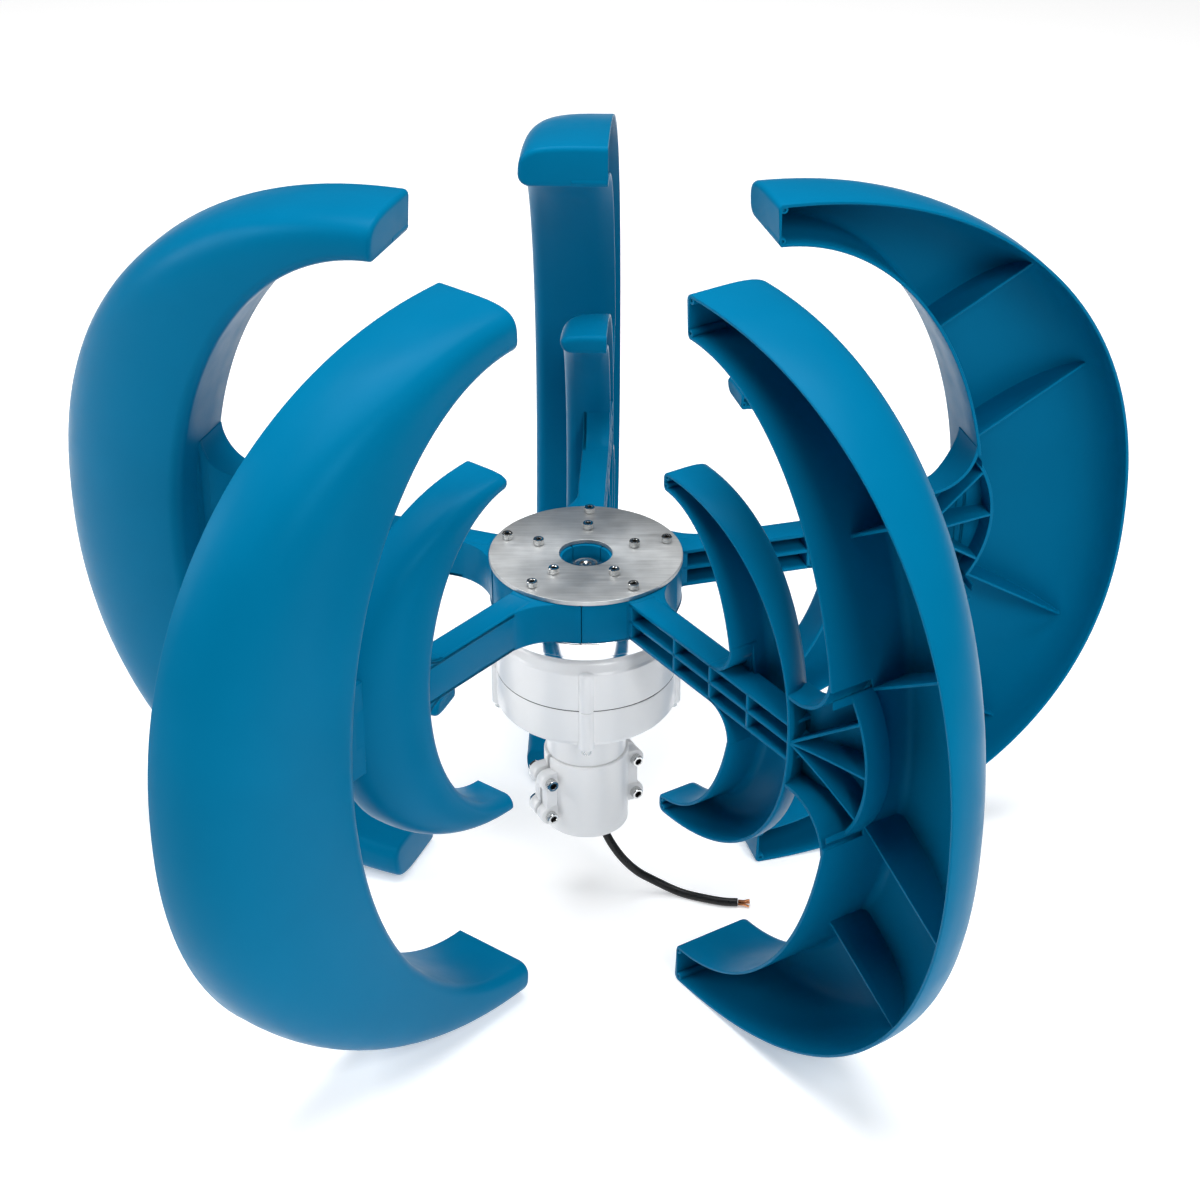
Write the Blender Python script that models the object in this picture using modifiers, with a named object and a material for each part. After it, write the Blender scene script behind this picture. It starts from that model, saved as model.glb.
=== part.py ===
"""Five-blade vertical-axis wind turbine: ribbed blades, clamped hub, generator, pole clamp and cable.

Metres, +Z up. The spin axis is Z, and z = 0 is the face that the top of the pole stops against.
"""

import math

import bmesh
import bpy
from mathutils import Matrix, Vector

# Fits shared by every pair of pieces
FIT = 0.0003            # gap left between pieces that touch
RUN_GAP = 0.0012        # gap between the turning hub and the fixed housing
AIR_GAP = 0.0010        # gap between the magnets and the stator teeth
OVERCUT = 0.0050        # how far a cutter runs past the face it opens
FLAT_ANGLE = 0.003      # faces that turn by less than this angle count as one flat
HAIRLINE = 0.000004     # points closer than this are one

# Sides of round pieces, alike where one sits in another
CASE_SIDES = 24
HUB_SIDES = 30
SHAFT_SIDES = 12
CLAMP_SIDES = 24
BOLT_SIDES = 8

# Pole clamp
POLE_RADIUS = 0.0300
CLAMP_WALL = 0.0063
CLAMP_HALF_HEIGHT = 0.0360
CLAMP_SPLIT_GAP = 0.0040
CLAMP_AZIMUTH = math.radians(207)
LUG_RADIUS = 0.0085
LUG_REACH = 0.0410
LUG_SPACING = 0.0340
LUG_DEPTH = 0.0125
CLAMP_BOLT_RADIUS = 0.0030

# Generator housing
NECK_RADIUS = 0.0340
NECK_LENGTH = 0.0440
NECK_BORE = 0.0200
HOUSING_RADIUS = 0.0760
HOUSING_WALL = 0.0072
LOWER_HOUSING_HEIGHT = 0.0390
UPPER_HOUSING_HEIGHT = 0.0495
HOUSING_FLOOR = 0.0050
SHOULDER_HEIGHT = 0.0145
SHOULDER_INSET = 0.0130
FOOT_HEIGHT = 0.0100
FOOT_INSET = 0.0120
LEDGE = 0.0030
BOSS_LIFT = 0.0019
BOSS_RADIUS = 0.0067
BOSS_SINK = 0.0027      # the bosses' centres lie this far inside the casing's outer wall
NECK_FLARE = 0.0060
HOUSING_BOLTS = 4
HOUSING_BOLT_RADIUS = 0.0025
HOUSING_BOLT_LENGTH = 0.0640

# Shaft line
BEARING_BORE = 0.0125
BEARING_RADIUS = 0.0260
BEARING_WIDTH = 0.0150
BEARING_SPLIT = 0.0190
BEARING_SEAT_WALL = 0.0050
SEAL_RADIUS = 0.0180
SEAL_THICKNESS = 0.0040
SEAL_LIP = 0.0025
THREAD_RADIUS = 0.0100
NUT_ACROSS_FLATS = 0.0300
NUT_HEIGHT = 0.0130
WASHER_RADIUS = 0.0160
WASHER_THICKNESS = 0.0025
THREAD_PAST_NUT = 0.0030
KEY_WIDTH = 0.0050
KEY_HEIGHT = 0.0050
KEY_LENGTH = 0.0120

# Generator core
CORE_LENGTH = 0.0380
ROTOR_LENGTH = 0.0340
CORE_BORE = 0.0430
SLOT_ROOT = 0.0580
TEETH = 9
TOOTH_SHARE = 0.66
END_TURN_HEIGHT = 0.0080
WINDING_BACK_GAP = 0.0010
MAGNETS = 6
MAGNET_THICKNESS = 0.0055
MAGNET_GAP = 0.0040

# Hub
PLATE_RADIUS = 0.0800
PLATE_THICKNESS = 0.0037
PLATE_HOLE = 0.0220
FLANGE_RADIUS = 0.0800
FLANGE_THICKNESS = 0.0167
FLANGE_BOSS_RADIUS = 0.0175
FLANGE_BOSS_HEIGHT = 0.0105
INNER_BOLT_CIRCLE = 0.0418
OUTER_BOLT_CIRCLE = 0.0696
BLADE_BOLT_RADIUS = 0.0025
BLADE_BOLT_HEAD_RADIUS = 0.00445
BLADE_BOLT_HEAD_HEIGHT = 0.0050
BLADE_BOLT_GRIP = 0.0120

# Blades, in the plane of the open rim: radius along X, height along Z
BLADES = 5
FIRST_BLADE_AZIMUTH = math.radians(231.3)
BLADE_WALL = 0.0030
RIM_OFFSET = 0.0120     # the open rim stands this far behind the radial line
ARM_HEIGHT = 0.0350
ARM_BACK = 0.0120
ARM_STEP = 0.0005       # the arm's flanges stand this far below the rims and the root's faces
ARM_START = 0.0640
ARM_RIB = 0.0030
ARM_RIB_RADII = (0.1430, 0.1910, 0.2400)
ARM_POCKET_START = 0.0960
ARM_FILLET = 0.0250
ROOT_RADIUS = 0.0800
ROOT_FLARE_END = 0.1260
ROOT_CLEARANCE = 0.0020

OUTER_TIP_RADIUS = 0.1530
OUTER_REACH = 0.3280
OUTER_HALF_HEIGHT = 0.3150
OUTER_POWER = 2.20
OUTER_INNER_TIP_RADIUS = 0.1550
OUTER_INNER_REACH = 0.1890
OUTER_TIP_WIDTH = 0.0360
OUTER_INNER_POWER = 2.05
OUTER_DEPTH = 0.0750
OUTER_STATIONS = 17

INNER_TIP_RADIUS = 0.1270
INNER_REACH = 0.1670
INNER_HALF_HEIGHT = 0.1570
INNER_POWER = 2.20
INNER_INNER_REACH = 0.0930
INNER_TIP_WIDTH = 0.0160
INNER_INNER_POWER = 2.00
INNER_DEPTH = 0.0400
INNER_STATIONS = 11

RIDGE_RADIUS = 0.0100   # rounding where the inner wall turns into the closed face
FACE_POWER_MIDDLE = 2.4
FACE_POWER_TIP = 5.0
FACE_ANGLES = (58, 29, 0)

FLARE_RADIUS = 0.0390
FLARE_HEIGHT = 0.0800
FLARE_BACK = 0.0280
FLARE_LEAN = 0.0090     # the flare's root follows the rounded face of the inner crescent
FAN_FRONT = 0.0060
FAN_RIB = 0.0025
FAN_ANGLE = 35
FAN_GAP = 0.0090        # the slanted ribs start this far from the arm's end
FAN_ARC_RADIUS = 0.0970
FAN_ARC_CENTRE = 0.2680
FAN_ARC_SPAN = 41

CHORD_RIB = 0.0025
CHORD_RIB_FRONT = 0.0250
CHORD_RIB_ANGLE = math.radians(31)
CHORD_RIB_CENTRES = ((0.3405, 0.1925), (0.3870, 0.0880))
CHORD_RIB_LENGTH = 0.1400

# Cable
CABLE_RADIUS = 0.0037
GLAND_PLUG_RADIUS = 0.0080
GLAND_PLUG_LENGTH = 0.0100
GLAND_FLANGE_RADIUS = 0.0110
GLAND_LENGTH = 0.0100
GLAND_LIP = 0.0020
CORE_WIRE_RADIUS = 0.0011
CORE_WIRE_LENGTH = 0.0100
CORE_WIRE_CIRCLE = 0.0017
CORE_WIRE_SPLAY = 0.0016
CABLE_STEP = 0.0160

# Heights up the spin axis
NECK_BOTTOM = CLAMP_HALF_HEIGHT + FIT
HOUSING_BOTTOM = NECK_BOTTOM + NECK_LENGTH
SPLIT_Z = HOUSING_BOTTOM + LOWER_HOUSING_HEIGHT
HOUSING_TOP = SPLIT_Z + FIT + UPPER_HOUSING_HEIGHT
FLANGE_BOTTOM = HOUSING_TOP + RUN_GAP
FLANGE_TOP = FLANGE_BOTTOM + FLANGE_THICKNESS
BLADE_Z = FLANGE_TOP + FIT + ARM_HEIGHT / 2
PLATE_BOTTOM = BLADE_Z + ARM_HEIGHT / 2 + FIT
PLATE_TOP = PLATE_BOTTOM + PLATE_THICKNESS
FLOOR_Z = BLADE_Z - OUTER_HALF_HEIGHT
CORE_BOTTOM = SPLIT_Z + FIT / 2 - CORE_LENGTH / 2
CORE_TOP = CORE_BOTTOM + CORE_LENGTH
ROTOR_BOTTOM = SPLIT_Z + FIT / 2 - ROTOR_LENGTH / 2
ROTOR_TOP = ROTOR_BOTTOM + ROTOR_LENGTH
LOWER_BEARING_Z = HOUSING_BOTTOM + HOUSING_FLOOR + FIT
UPPER_BEARING_Z = HOUSING_TOP - SEAL_THICKNESS - SEAL_LIP - BEARING_WIDTH
BOSS_TOP = FLANGE_TOP + FLANGE_BOSS_HEIGHT
NUT_BOTTOM = BOSS_TOP + FIT + WASHER_THICKNESS + FIT
SHAFT_TOP = NUT_BOTTOM + NUT_HEIGHT + THREAD_PAST_NUT
GLAND_SEAT_Z = HOUSING_BOTTOM - HOUSING_FLOOR
GLAND_BOTTOM = GLAND_SEAT_Z - FIT - GLAND_LENGTH

# Radii worked out from the sizes above
CLAMP_RADIUS = POLE_RADIUS + CLAMP_WALL
SPIGOT_RADIUS = POLE_RADIUS - FIT
HOUSING_BORE = HOUSING_RADIUS - HOUSING_WALL
CORE_RADIUS = HOUSING_BORE - FIT
MAGNET_RADIUS = CORE_BORE - AIR_GAP
ROTOR_CORE_RADIUS = MAGNET_RADIUS - MAGNET_THICKNESS - FIT
BEARING_SEAT = BEARING_RADIUS + FIT
BEARING_BOSS = BEARING_SEAT + BEARING_SEAT_WALL
SHAFT_RADIUS = BEARING_BORE - FIT
FLANGE_BORE = THREAD_RADIUS + FIT
ROOT_BORE = FLANGE_BOSS_RADIUS + ROOT_CLEARANCE
BOSS_CIRCLE = HOUSING_RADIUS - BOSS_SINK

# Half heights of the crescents' inner edges, a tip's width less than those of the outer edges
OUTER_INNER_HALF_HEIGHT = OUTER_HALF_HEIGHT - OUTER_TIP_WIDTH
INNER_INNER_HALF_HEIGHT = INNER_HALF_HEIGHT - INNER_TIP_WIDTH

# Cable route: down the hollow neck and the open clamp, then out along the floor inside the blade tips
CABLE_REST = FLOOR_Z + CABLE_RADIUS + FIT
CABLE_ROUTE = (
    (0.0000, 0.0000, GLAND_BOTTOM - FIT),
    (0.0000, 0.0000, 0.0400),
    (0.0030, -0.0030, -0.0050),
    (0.0140, -0.0130, -0.0400),
    (0.0270, -0.0180, -0.0640),
    (0.0430, -0.0160, -0.0850),
    (0.0610, -0.0150, -0.0980),
    (0.0820, -0.0200, CABLE_REST),
    (0.1030, -0.0290, CABLE_REST),
    (0.1200, -0.0340, CABLE_REST),
    (0.1320, -0.0350, CABLE_REST),
)


def clear_scene():
    for item in list(bpy.data.objects):
        bpy.data.objects.remove(item)


def make_collection(name):
    group = bpy.data.collections.new(name)
    bpy.context.scene.collection.children.link(group)
    return group


def make_material(name, colour, roughness, metallic=0.0):
    material = bpy.data.materials.new(name)
    material.use_nodes = True
    shader = material.node_tree.nodes["Principled BSDF"]
    shader.inputs["Base Color"].default_value = (*colour, 1.0)
    shader.inputs["Roughness"].default_value = roughness
    shader.inputs["Metallic"].default_value = metallic
    return material


clear_scene()
PARTS = make_collection("small_wind_turbine")
CUTTERS = make_collection("cutters")

BLADE_BLUE = make_material("blade_blue", (0.004, 0.190, 0.420), 0.32)
WHITE_PAINT = make_material("white_paint", (0.800, 0.810, 0.820), 0.28)
PLATE_STEEL = make_material("plate_steel", (0.560, 0.560, 0.550), 0.34, 1.0)
POLISHED_ALUMINIUM = make_material("polished_aluminium", (0.760, 0.770, 0.780), 0.16, 1.0)
BOLT_STEEL = make_material("bolt_steel", (0.620, 0.620, 0.610), 0.24, 1.0)
LAMINATION_STEEL = make_material("lamination_steel", (0.180, 0.180, 0.190), 0.48, 1.0)
COPPER = make_material("copper_winding", (0.620, 0.250, 0.100), 0.36, 1.0)
MAGNET_NICKEL = make_material("magnet_nickel", (0.480, 0.480, 0.470), 0.26, 1.0)
BLACK_RUBBER = make_material("black_rubber", (0.012, 0.012, 0.013), 0.52)
CABLE_BLACK = make_material("cable_black", (0.015, 0.015, 0.016), 0.42)


def make_empty(name):
    empty = bpy.data.objects.new(name, None)
    PARTS.objects.link(empty)
    return empty


STATOR = make_empty("stator_axis")
ROTOR = make_empty("rotor_axis")


def add_part(name, mesh, material, parent, matrix=Matrix.Identity(4)):
    part = bpy.data.objects.new(name, mesh)
    PARTS.objects.link(part)
    mesh.materials.clear()
    mesh.materials.append(material)
    part.parent = parent
    part.matrix_basis = matrix
    return part


def add_cutter(mesh, matrix=Matrix.Identity(4)):
    cutter = bpy.data.objects.new(mesh.name, mesh)
    CUTTERS.objects.link(cutter)
    cutter.matrix_basis = matrix
    cutter.hide_render = True
    cutter.display_type = "WIRE"
    return cutter


def finished_mesh(name, target):
    """The mesh of an object with all its modifiers applied."""
    graph = bpy.context.evaluated_depsgraph_get()
    mesh = bpy.data.meshes.new_from_object(target.evaluated_get(graph))
    mesh.name = name
    return mesh


def clean(work):
    """Close up the hairline edges and slivers that a cut leaves."""
    bmesh.ops.remove_doubles(work, verts=work.verts, dist=HAIRLINE)
    bmesh.ops.dissolve_degenerate(work, edges=work.edges, dist=HAIRLINE)


def combine(target, mesh, operation="DIFFERENCE"):
    """Cut, join or trim a part with a second mesh given in the part's own frame."""
    cutter = add_cutter(mesh, target.matrix_basis)
    step = target.modifiers.new(operation.title(), "BOOLEAN")
    step.operation = operation
    step.solver = "EXACT"
    step.object = cutter
    result = finished_mesh(target.name, target)
    target.modifiers.clear()
    bpy.data.objects.remove(cutter)
    work = bmesh.new()
    work.from_mesh(result)
    clean(work)
    work.to_mesh(result)
    work.free()
    target.data = result


def settle(target):
    """Join the flat faces that the cuts left in pieces."""
    work = bmesh.new()
    work.from_mesh(target.data)
    bmesh.ops.dissolve_limit(work, angle_limit=FLAT_ANGLE, verts=work.verts, edges=work.edges)
    bmesh.ops.triangulate(work, faces=work.faces)
    clean(work)
    work.to_mesh(target.data)
    work.free()


def weld(mesh):
    work = bmesh.new()
    work.from_mesh(mesh)
    bmesh.ops.remove_doubles(work, verts=work.verts, dist=1e-6)
    work.to_mesh(mesh)
    work.free()


def merged(name, meshes):
    """Several meshes in one, to be used as a single cutter."""
    work = bmesh.new()
    for mesh in meshes:
        work.from_mesh(mesh)
    mesh = bpy.data.meshes.new(name)
    work.to_mesh(mesh)
    work.free()
    return mesh


def turned(name, profile, sides, closed=True):
    """Turn an outline about Z. It runs down the outer side first; an open one starts and ends on the axis."""
    count = len(profile)
    edges = [(k, k + 1) for k in range(count - 1)]
    if closed:
        edges.append((count - 1, 0))
    mesh = bpy.data.meshes.new(name)
    mesh.from_pydata([(r, 0.0, z) for r, z in profile], edges, [])
    holder = bpy.data.objects.new(name, mesh)
    CUTTERS.objects.link(holder)
    screw = holder.modifiers.new("Screw", "SCREW")
    screw.axis = "Z"
    screw.steps = sides
    screw.render_steps = sides
    screw.use_merge_vertices = True
    screw.merge_threshold = 1e-5
    screw.use_smooth_shade = False
    solid = finished_mesh(name, holder)
    bpy.data.objects.remove(holder)
    return solid


def prism(name, outlines, low, high, upright=False):
    """Extrude flat outlines, the later ones holes. Upright outlines lie in XZ and extrude along Y."""
    curve = bpy.data.curves.new(name, "CURVE")
    curve.dimensions = "2D"
    curve.fill_mode = "BOTH"
    curve.extrude = (high - low) / 2
    for outline in outlines:
        spline = curve.splines.new("POLY")
        spline.points.add(len(outline) - 1)
        for point, (x, y) in zip(spline.points, outline):
            point.co = (x, y, 0.0, 1.0)
        spline.use_cyclic_u = True
    holder = bpy.data.objects.new(name, curve)
    mesh = bpy.data.meshes.new_from_object(holder)
    bpy.data.objects.remove(holder)
    weld(mesh)
    middle = (low + high) / 2
    if upright:
        mesh.transform(Matrix.Translation((0, middle, 0)) @ Matrix.Rotation(math.pi / 2, 4, "X"))
    else:
        mesh.transform(Matrix.Translation((0, 0, middle)))
    return mesh


def block(name, low, high):
    """A box between two corners."""
    work = bmesh.new()
    bmesh.ops.create_cube(work, size=1.0)
    centre = (Vector(low) + Vector(high)) / 2
    size = Vector(high) - Vector(low)
    bmesh.ops.scale(work, vec=size, verts=work.verts)
    bmesh.ops.translate(work, vec=centre, verts=work.verts)
    mesh = bpy.data.meshes.new(name)
    work.to_mesh(mesh)
    work.free()
    return mesh


def rod(name, radius, low, high, sides, place=Matrix.Identity(4)):
    """A capped cylinder along Z between two heights, then moved to its place."""
    work = bmesh.new()
    bmesh.ops.create_cone(
        work, cap_ends=True, segments=sides, radius1=radius, radius2=radius, depth=high - low)
    bmesh.ops.translate(work, vec=(0, 0, (low + high) / 2), verts=work.verts)
    bmesh.ops.transform(work, matrix=place, verts=work.verts)
    mesh = bpy.data.meshes.new(name)
    work.to_mesh(mesh)
    work.free()
    return mesh


def loft(name, rings):
    """Skin a row of closed sections with equal counts of points, and cap both ends."""
    work = bmesh.new()
    rows = [[work.verts.new(point) for point in ring] for ring in rings]
    for row, after in zip(rows, rows[1:]):
        for k in range(len(row)):
            n = (k + 1) % len(row)
            work.faces.new((row[k], row[n], after[n], after[k]))
    work.faces.new(rows[0])
    work.faces.new(rows[-1])
    bmesh.ops.recalc_face_normals(work, faces=work.faces)
    mesh = bpy.data.meshes.new(name)
    work.to_mesh(mesh)
    work.free()
    return mesh


def polar(radius, angle, height=0.0):
    return Vector((radius * math.cos(angle), radius * math.sin(angle), height))


def arc(centre, radius, start, end, steps):
    """Points along an arc, angles in degrees, both ends included."""
    points = []
    for k in range(steps + 1):
        angle = math.radians(start + (end - start) * k / steps)
        points.append((centre[0] + radius * math.cos(angle), centre[1] + radius * math.sin(angle)))
    return points


def circle(centre, radius, sides):
    return arc(centre, radius, 0, 360, sides)[:-1]


def mirrored(upper):
    """Close an outline with the mirror image of its upper half, point for point."""
    return upper + [(r, -z) for r, z in reversed(upper) if abs(z) > 1e-9]


def spread(count, first=0.0):
    return [first + math.tau * k / count for k in range(count)]


class Edge:
    """One long edge of a crescent: a squared-off half ellipse standing on the tip radius."""

    def __init__(self, tip, reach, half_height, power):
        self.tip = tip
        self.reach = reach
        self.half_height = half_height
        self.power = power

    def at_angle(self, angle):
        across = abs(math.cos(angle)) ** (2 / self.power)
        up = math.copysign(abs(math.sin(angle)) ** (2 / self.power), math.sin(angle))
        return Vector((self.tip + self.reach * across, 0.0, self.half_height * up))

    def height_at(self, past_tip):
        share = (past_tip / self.reach) ** self.power
        return self.half_height * (1 - share) ** (1 / self.power)

    def radius_at(self, height):
        share = (abs(height) / self.half_height) ** self.power
        return self.tip + self.reach * (1 - share) ** (1 / self.power)


class Crescent:
    """A hollow C-shaped scoop, open at its rim and closed by a rounded face."""

    def __init__(self, outer, inner, depth, stations):
        self.outer = outer
        self.inner = inner
        self.depth = depth
        self.stations = stations

    def section(self, inner, outer, middle, inset, front):
        """Up the inner wall, round the ridge and over the face to the outer rim."""
        across = (outer - inner).normalized()
        start = inner + across * inset
        width = (outer - inner).length - 2 * inset
        depth = self.depth - inset
        ridge = max(RIDGE_RADIUS - inset, RIDGE_RADIUS / 3)
        power = FACE_POWER_TIP + (FACE_POWER_MIDDLE - FACE_POWER_TIP) * middle
        top = depth * (1 - (ridge / width) ** power) ** (1 / power)
        profile = [(0.0, -front), (0.0, depth - ridge), (ridge, top)]
        for degrees in FACE_ANGLES:
            angle = math.radians(degrees)
            over = width * math.cos(angle) ** (2 / power)
            up = depth * math.sin(angle) ** (2 / power)
            profile.append((over, up if degrees else -front))
        rim = Vector((0, -RIM_OFFSET, 0))
        return [start + across * over + rim + Vector((0, up, 0)) for over, up in profile]

    def sections(self, inset=0.0, front=0.0):
        """Sections from tip to tip, those of the hollow standing in by the wall."""
        rings = []
        for k in range(self.stations):
            share = 2 * k / (self.stations - 1) - 1
            angle = math.pi / 2 * (1.3 * share - 0.3 * share ** 3)
            inner = self.inner.at_angle(angle)
            outer = self.outer.at_angle(angle)
            if inset and abs(share) > 0.999:
                side = math.copysign(1, share)
                inner = Vector((self.inner.tip + inset, 0, side * self.inner.height_at(inset)))
                outer = Vector((self.outer.tip + inset, 0, side * self.outer.height_at(inset)))
            rings.append(self.section(inner, outer, math.cos(angle), inset, front))
        return rings

    def shell(self, name):
        """The scoop itself: outer skin, inner skin and the flat rim between them."""
        work = bmesh.new()
        skins = []
        for inset in (0.0, BLADE_WALL):
            rows = [[work.verts.new(point) for point in ring] for ring in self.sections(inset)]
            for row, after in zip(rows, rows[1:]):
                for k in range(len(row) - 1):
                    work.faces.new((row[k], row[k + 1], after[k + 1], after[k]))
            work.faces.new(rows[0])
            work.faces.new(rows[-1])
            skins.append(rows)
        outside, inside = skins
        for k in range(len(outside) - 1):
            for end in (0, -1):
                work.faces.new((
                    outside[k][end], outside[k + 1][end], inside[k + 1][end], inside[k][end]))
        for k in (0, -1):
            work.faces.new((outside[k][0], outside[k][-1], inside[k][-1], inside[k][0]))
        bmesh.ops.recalc_face_normals(work, faces=work.faces)
        mesh = bpy.data.meshes.new(name)
        work.to_mesh(mesh)
        work.free()
        return mesh


OUTER_CRESCENT = Crescent(
    Edge(OUTER_TIP_RADIUS, OUTER_REACH, OUTER_HALF_HEIGHT, OUTER_POWER),
    Edge(OUTER_INNER_TIP_RADIUS, OUTER_INNER_REACH, OUTER_INNER_HALF_HEIGHT, OUTER_INNER_POWER),
    OUTER_DEPTH, OUTER_STATIONS)
INNER_CRESCENT = Crescent(
    Edge(INNER_TIP_RADIUS, INNER_REACH, INNER_HALF_HEIGHT, INNER_POWER),
    Edge(INNER_TIP_RADIUS, INNER_INNER_REACH, INNER_INNER_HALF_HEIGHT, INNER_INNER_POWER),
    INNER_DEPTH, INNER_STATIONS)

# Where the arm crosses the crescents
ROOT_HALF = ARM_HEIGHT / 2
ARM_HALF = ROOT_HALF - ARM_STEP
ARM_JOIN = INNER_CRESCENT.inner.radius_at(ARM_HALF + ARM_FILLET)
ARM_END = INNER_TIP_RADIUS + INNER_REACH
FLARE_JOIN = OUTER_CRESCENT.inner.radius_at(FLARE_HEIGHT)
FLARE_CENTRE = FLARE_JOIN - FLARE_RADIUS
FLARE_LOW = FLARE_HEIGHT - FLARE_RADIUS
FLARE_START = ARM_END - BLADE_WALL / 2
FAN_START = ARM_END + BLADE_WALL / 2


def flare_back(radius, inset=0.0):
    """How far the back of the flare stands behind the radial line."""
    share = (radius - FLARE_CENTRE) / (FLARE_JOIN - FLARE_CENTRE)
    share = min(max(share, 0.0), 1.0)
    return ARM_BACK + (FLARE_BACK - ARM_BACK) * share - inset


def lean_back(mesh, inset=0.0):
    """Lay the rear points of a prism on the sloping back."""
    rear = max(vertex.co.y for vertex in mesh.vertices)
    for vertex in mesh.vertices:
        if vertex.co.y > rear - 1e-6:
            vertex.co.y = flare_back(vertex.co.x, inset)


def spine_mesh():
    """The arm with its fillets into the inner crescent, and the trumpet mouth into the outer one."""
    fillet = arc((ARM_JOIN - ARM_FILLET, ARM_HALF + ARM_FILLET), ARM_FILLET, -90, 0, 4)
    buried = ARM_JOIN + BLADE_WALL / 2
    mouth = arc((FLARE_CENTRE, FLARE_HEIGHT), FLARE_RADIUS, -90, -10, 5)
    top = mouth[-1][1]
    wall = [(OUTER_CRESCENT.inner.radius_at(z) + BLADE_WALL / 2, z) for z in (top, top / 2, 0.0)]
    upper = [(ARM_START, ARM_HALF)] + fillet
    upper += [(buried, ARM_HALF + ARM_FILLET), (buried, ARM_HALF)]
    upper += [(FLARE_START, ARM_HALF), (FLARE_START, FLARE_LOW)] + mouth + wall
    spine = prism("spine", [mirrored(upper)], ARM_STEP - RIM_OFFSET, FLARE_BACK, upright=True)
    lean_back(spine)
    for vertex in spine.vertices:
        if vertex.co.y > 0 and abs(vertex.co.x - FLARE_START) < 1e-6:
            vertex.co.x -= FLARE_LEAN
    return spine


def plateau_mesh():
    """The low stretch of the flare inside the outer crescent."""
    height = FAN_ARC_RADIUS * math.sin(math.radians(FAN_ARC_SPAN))
    edge = OUTER_CRESCENT.inner
    end = arc((FAN_ARC_CENTRE, 0), FAN_ARC_RADIUS, FAN_ARC_SPAN, -FAN_ARC_SPAN, 8)
    inner = [(edge.radius_at(z) + BLADE_WALL * 2 / 3, z) for z in (-height * 0.4, 0.0, height * 0.4)]
    return prism("flare_plateau", [inner + end], FAN_FRONT, FLARE_BACK - ARM_STEP, upright=True)


def flare_pocket():
    """The hollow of the trumpet mouth, running on through the wall of the outer crescent."""
    mouth = arc((FLARE_CENTRE, FLARE_HEIGHT), FLARE_RADIUS + BLADE_WALL, -90, -30, 4)
    reach = FAN_ARC_RADIUS - BLADE_WALL
    end = arc((FAN_ARC_CENTRE, 0), reach, math.degrees(math.asin(mouth[-1][1] / reach)), 0, 4)
    upper = [(FAN_START, FLARE_LOW - BLADE_WALL)] + mouth + end
    pocket = prism("flare_pocket", [mirrored(upper)], -RIM_OFFSET - OVERCUT, FLARE_BACK, upright=True)
    lean_back(pocket, BLADE_WALL)
    return pocket


def root_mesh():
    """The fifth part of the hub ring that carries the arm, with hollow cheeks running out to it."""
    half = math.pi / BLADES
    gap = FIT / 2
    normal = Vector((math.sin(half), -math.cos(half), 0)) * gap
    bore = [polar(ROOT_BORE, half * share) for share in (0.0, 0.5)]
    side = [polar(ROOT_BORE, half) + normal, polar(ROOT_RADIUS, half) + normal]
    start = side[1]
    buried = ARM_BACK - 2 * ARM_STEP
    end = Vector((ROOT_FLARE_END, buried, 0))
    pull = Vector((ROOT_RADIUS, buried, 0))
    cheek = []
    for k in range(1, 5):
        share = k / 4
        cheek.append(start * (1 - share) ** 2 + pull * 2 * share * (1 - share) + end * share ** 2)
    upper = [(p.x, p.y) for p in bore[1:] + side + cheek]
    outline = [(ROOT_BORE, 0.0)] + upper + [(x, -y) for x, y in reversed(upper)]
    return prism("root", [outline], -ROOT_HALF, ROOT_HALF)


def bolt_circle_holes(name, radius, low, high, first=0.0, blades=1):
    """Rods for the two bolts of each blade."""
    rods = []
    for angle in spread(BLADES, first)[:blades]:
        for reach in (INNER_BOLT_CIRCLE, OUTER_BOLT_CIRCLE):
            place = Matrix.Rotation(angle, 4, "Z") @ Matrix.Translation((reach, 0, 0))
            rods.append(rod("hole", radius, low, high, BOLT_SIDES, place))
    return merged(name, rods)


def arm_pockets():
    """The open bays of the arm, above and below its lengthwise rib."""
    inner = ARM_HALF - BLADE_WALL
    walls = [ARM_POCKET_START - ARM_RIB / 2, *ARM_RIB_RADII, ARM_END - BLADE_WALL + ARM_RIB / 2]
    bays = []
    for near, far in zip(walls, walls[1:]):
        for side in (-1, 1):
            low, high = sorted((side * ARM_RIB / 2, side * inner))
            bays.append(block(
                "bay", (near + ARM_RIB / 2, -ROOT_RADIUS / 2, low),
                (far - ARM_RIB / 2, ARM_BACK - BLADE_WALL, high)))
    return merged("arm_pockets", bays)


def fan_ribs():
    """The three ribs that spread from the end of the arm to the arc."""
    ribs = []
    root = BLADE_WALL / 2
    front = FAN_FRONT + ARM_STEP
    centre = FAN_START - FAN_ARC_CENTRE
    for degrees, near in ((-FAN_ANGLE, FAN_GAP), (0, -root), (FAN_ANGLE, FAN_GAP)):
        angle = math.radians(degrees)
        toward = math.cos(angle)
        reach = math.sqrt(FAN_ARC_RADIUS ** 2 - (centre * math.sin(angle)) ** 2) - centre * toward
        far = reach - root
        bend = (FLARE_JOIN - FAN_START) / toward
        outline = [
            (near, front), (far, front), (far, FLARE_BACK - root), (bend, FLARE_BACK - root),
            (near, flare_back(FAN_START + near * toward) - root)]
        rib = prism("fan_rib", [outline], -FAN_RIB / 2, FAN_RIB / 2)
        rib.transform(Matrix.Translation((FAN_START, 0, 0)) @ Matrix.Rotation(-angle, 4, "Y"))
        ribs.append(rib)
    return ribs


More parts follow.
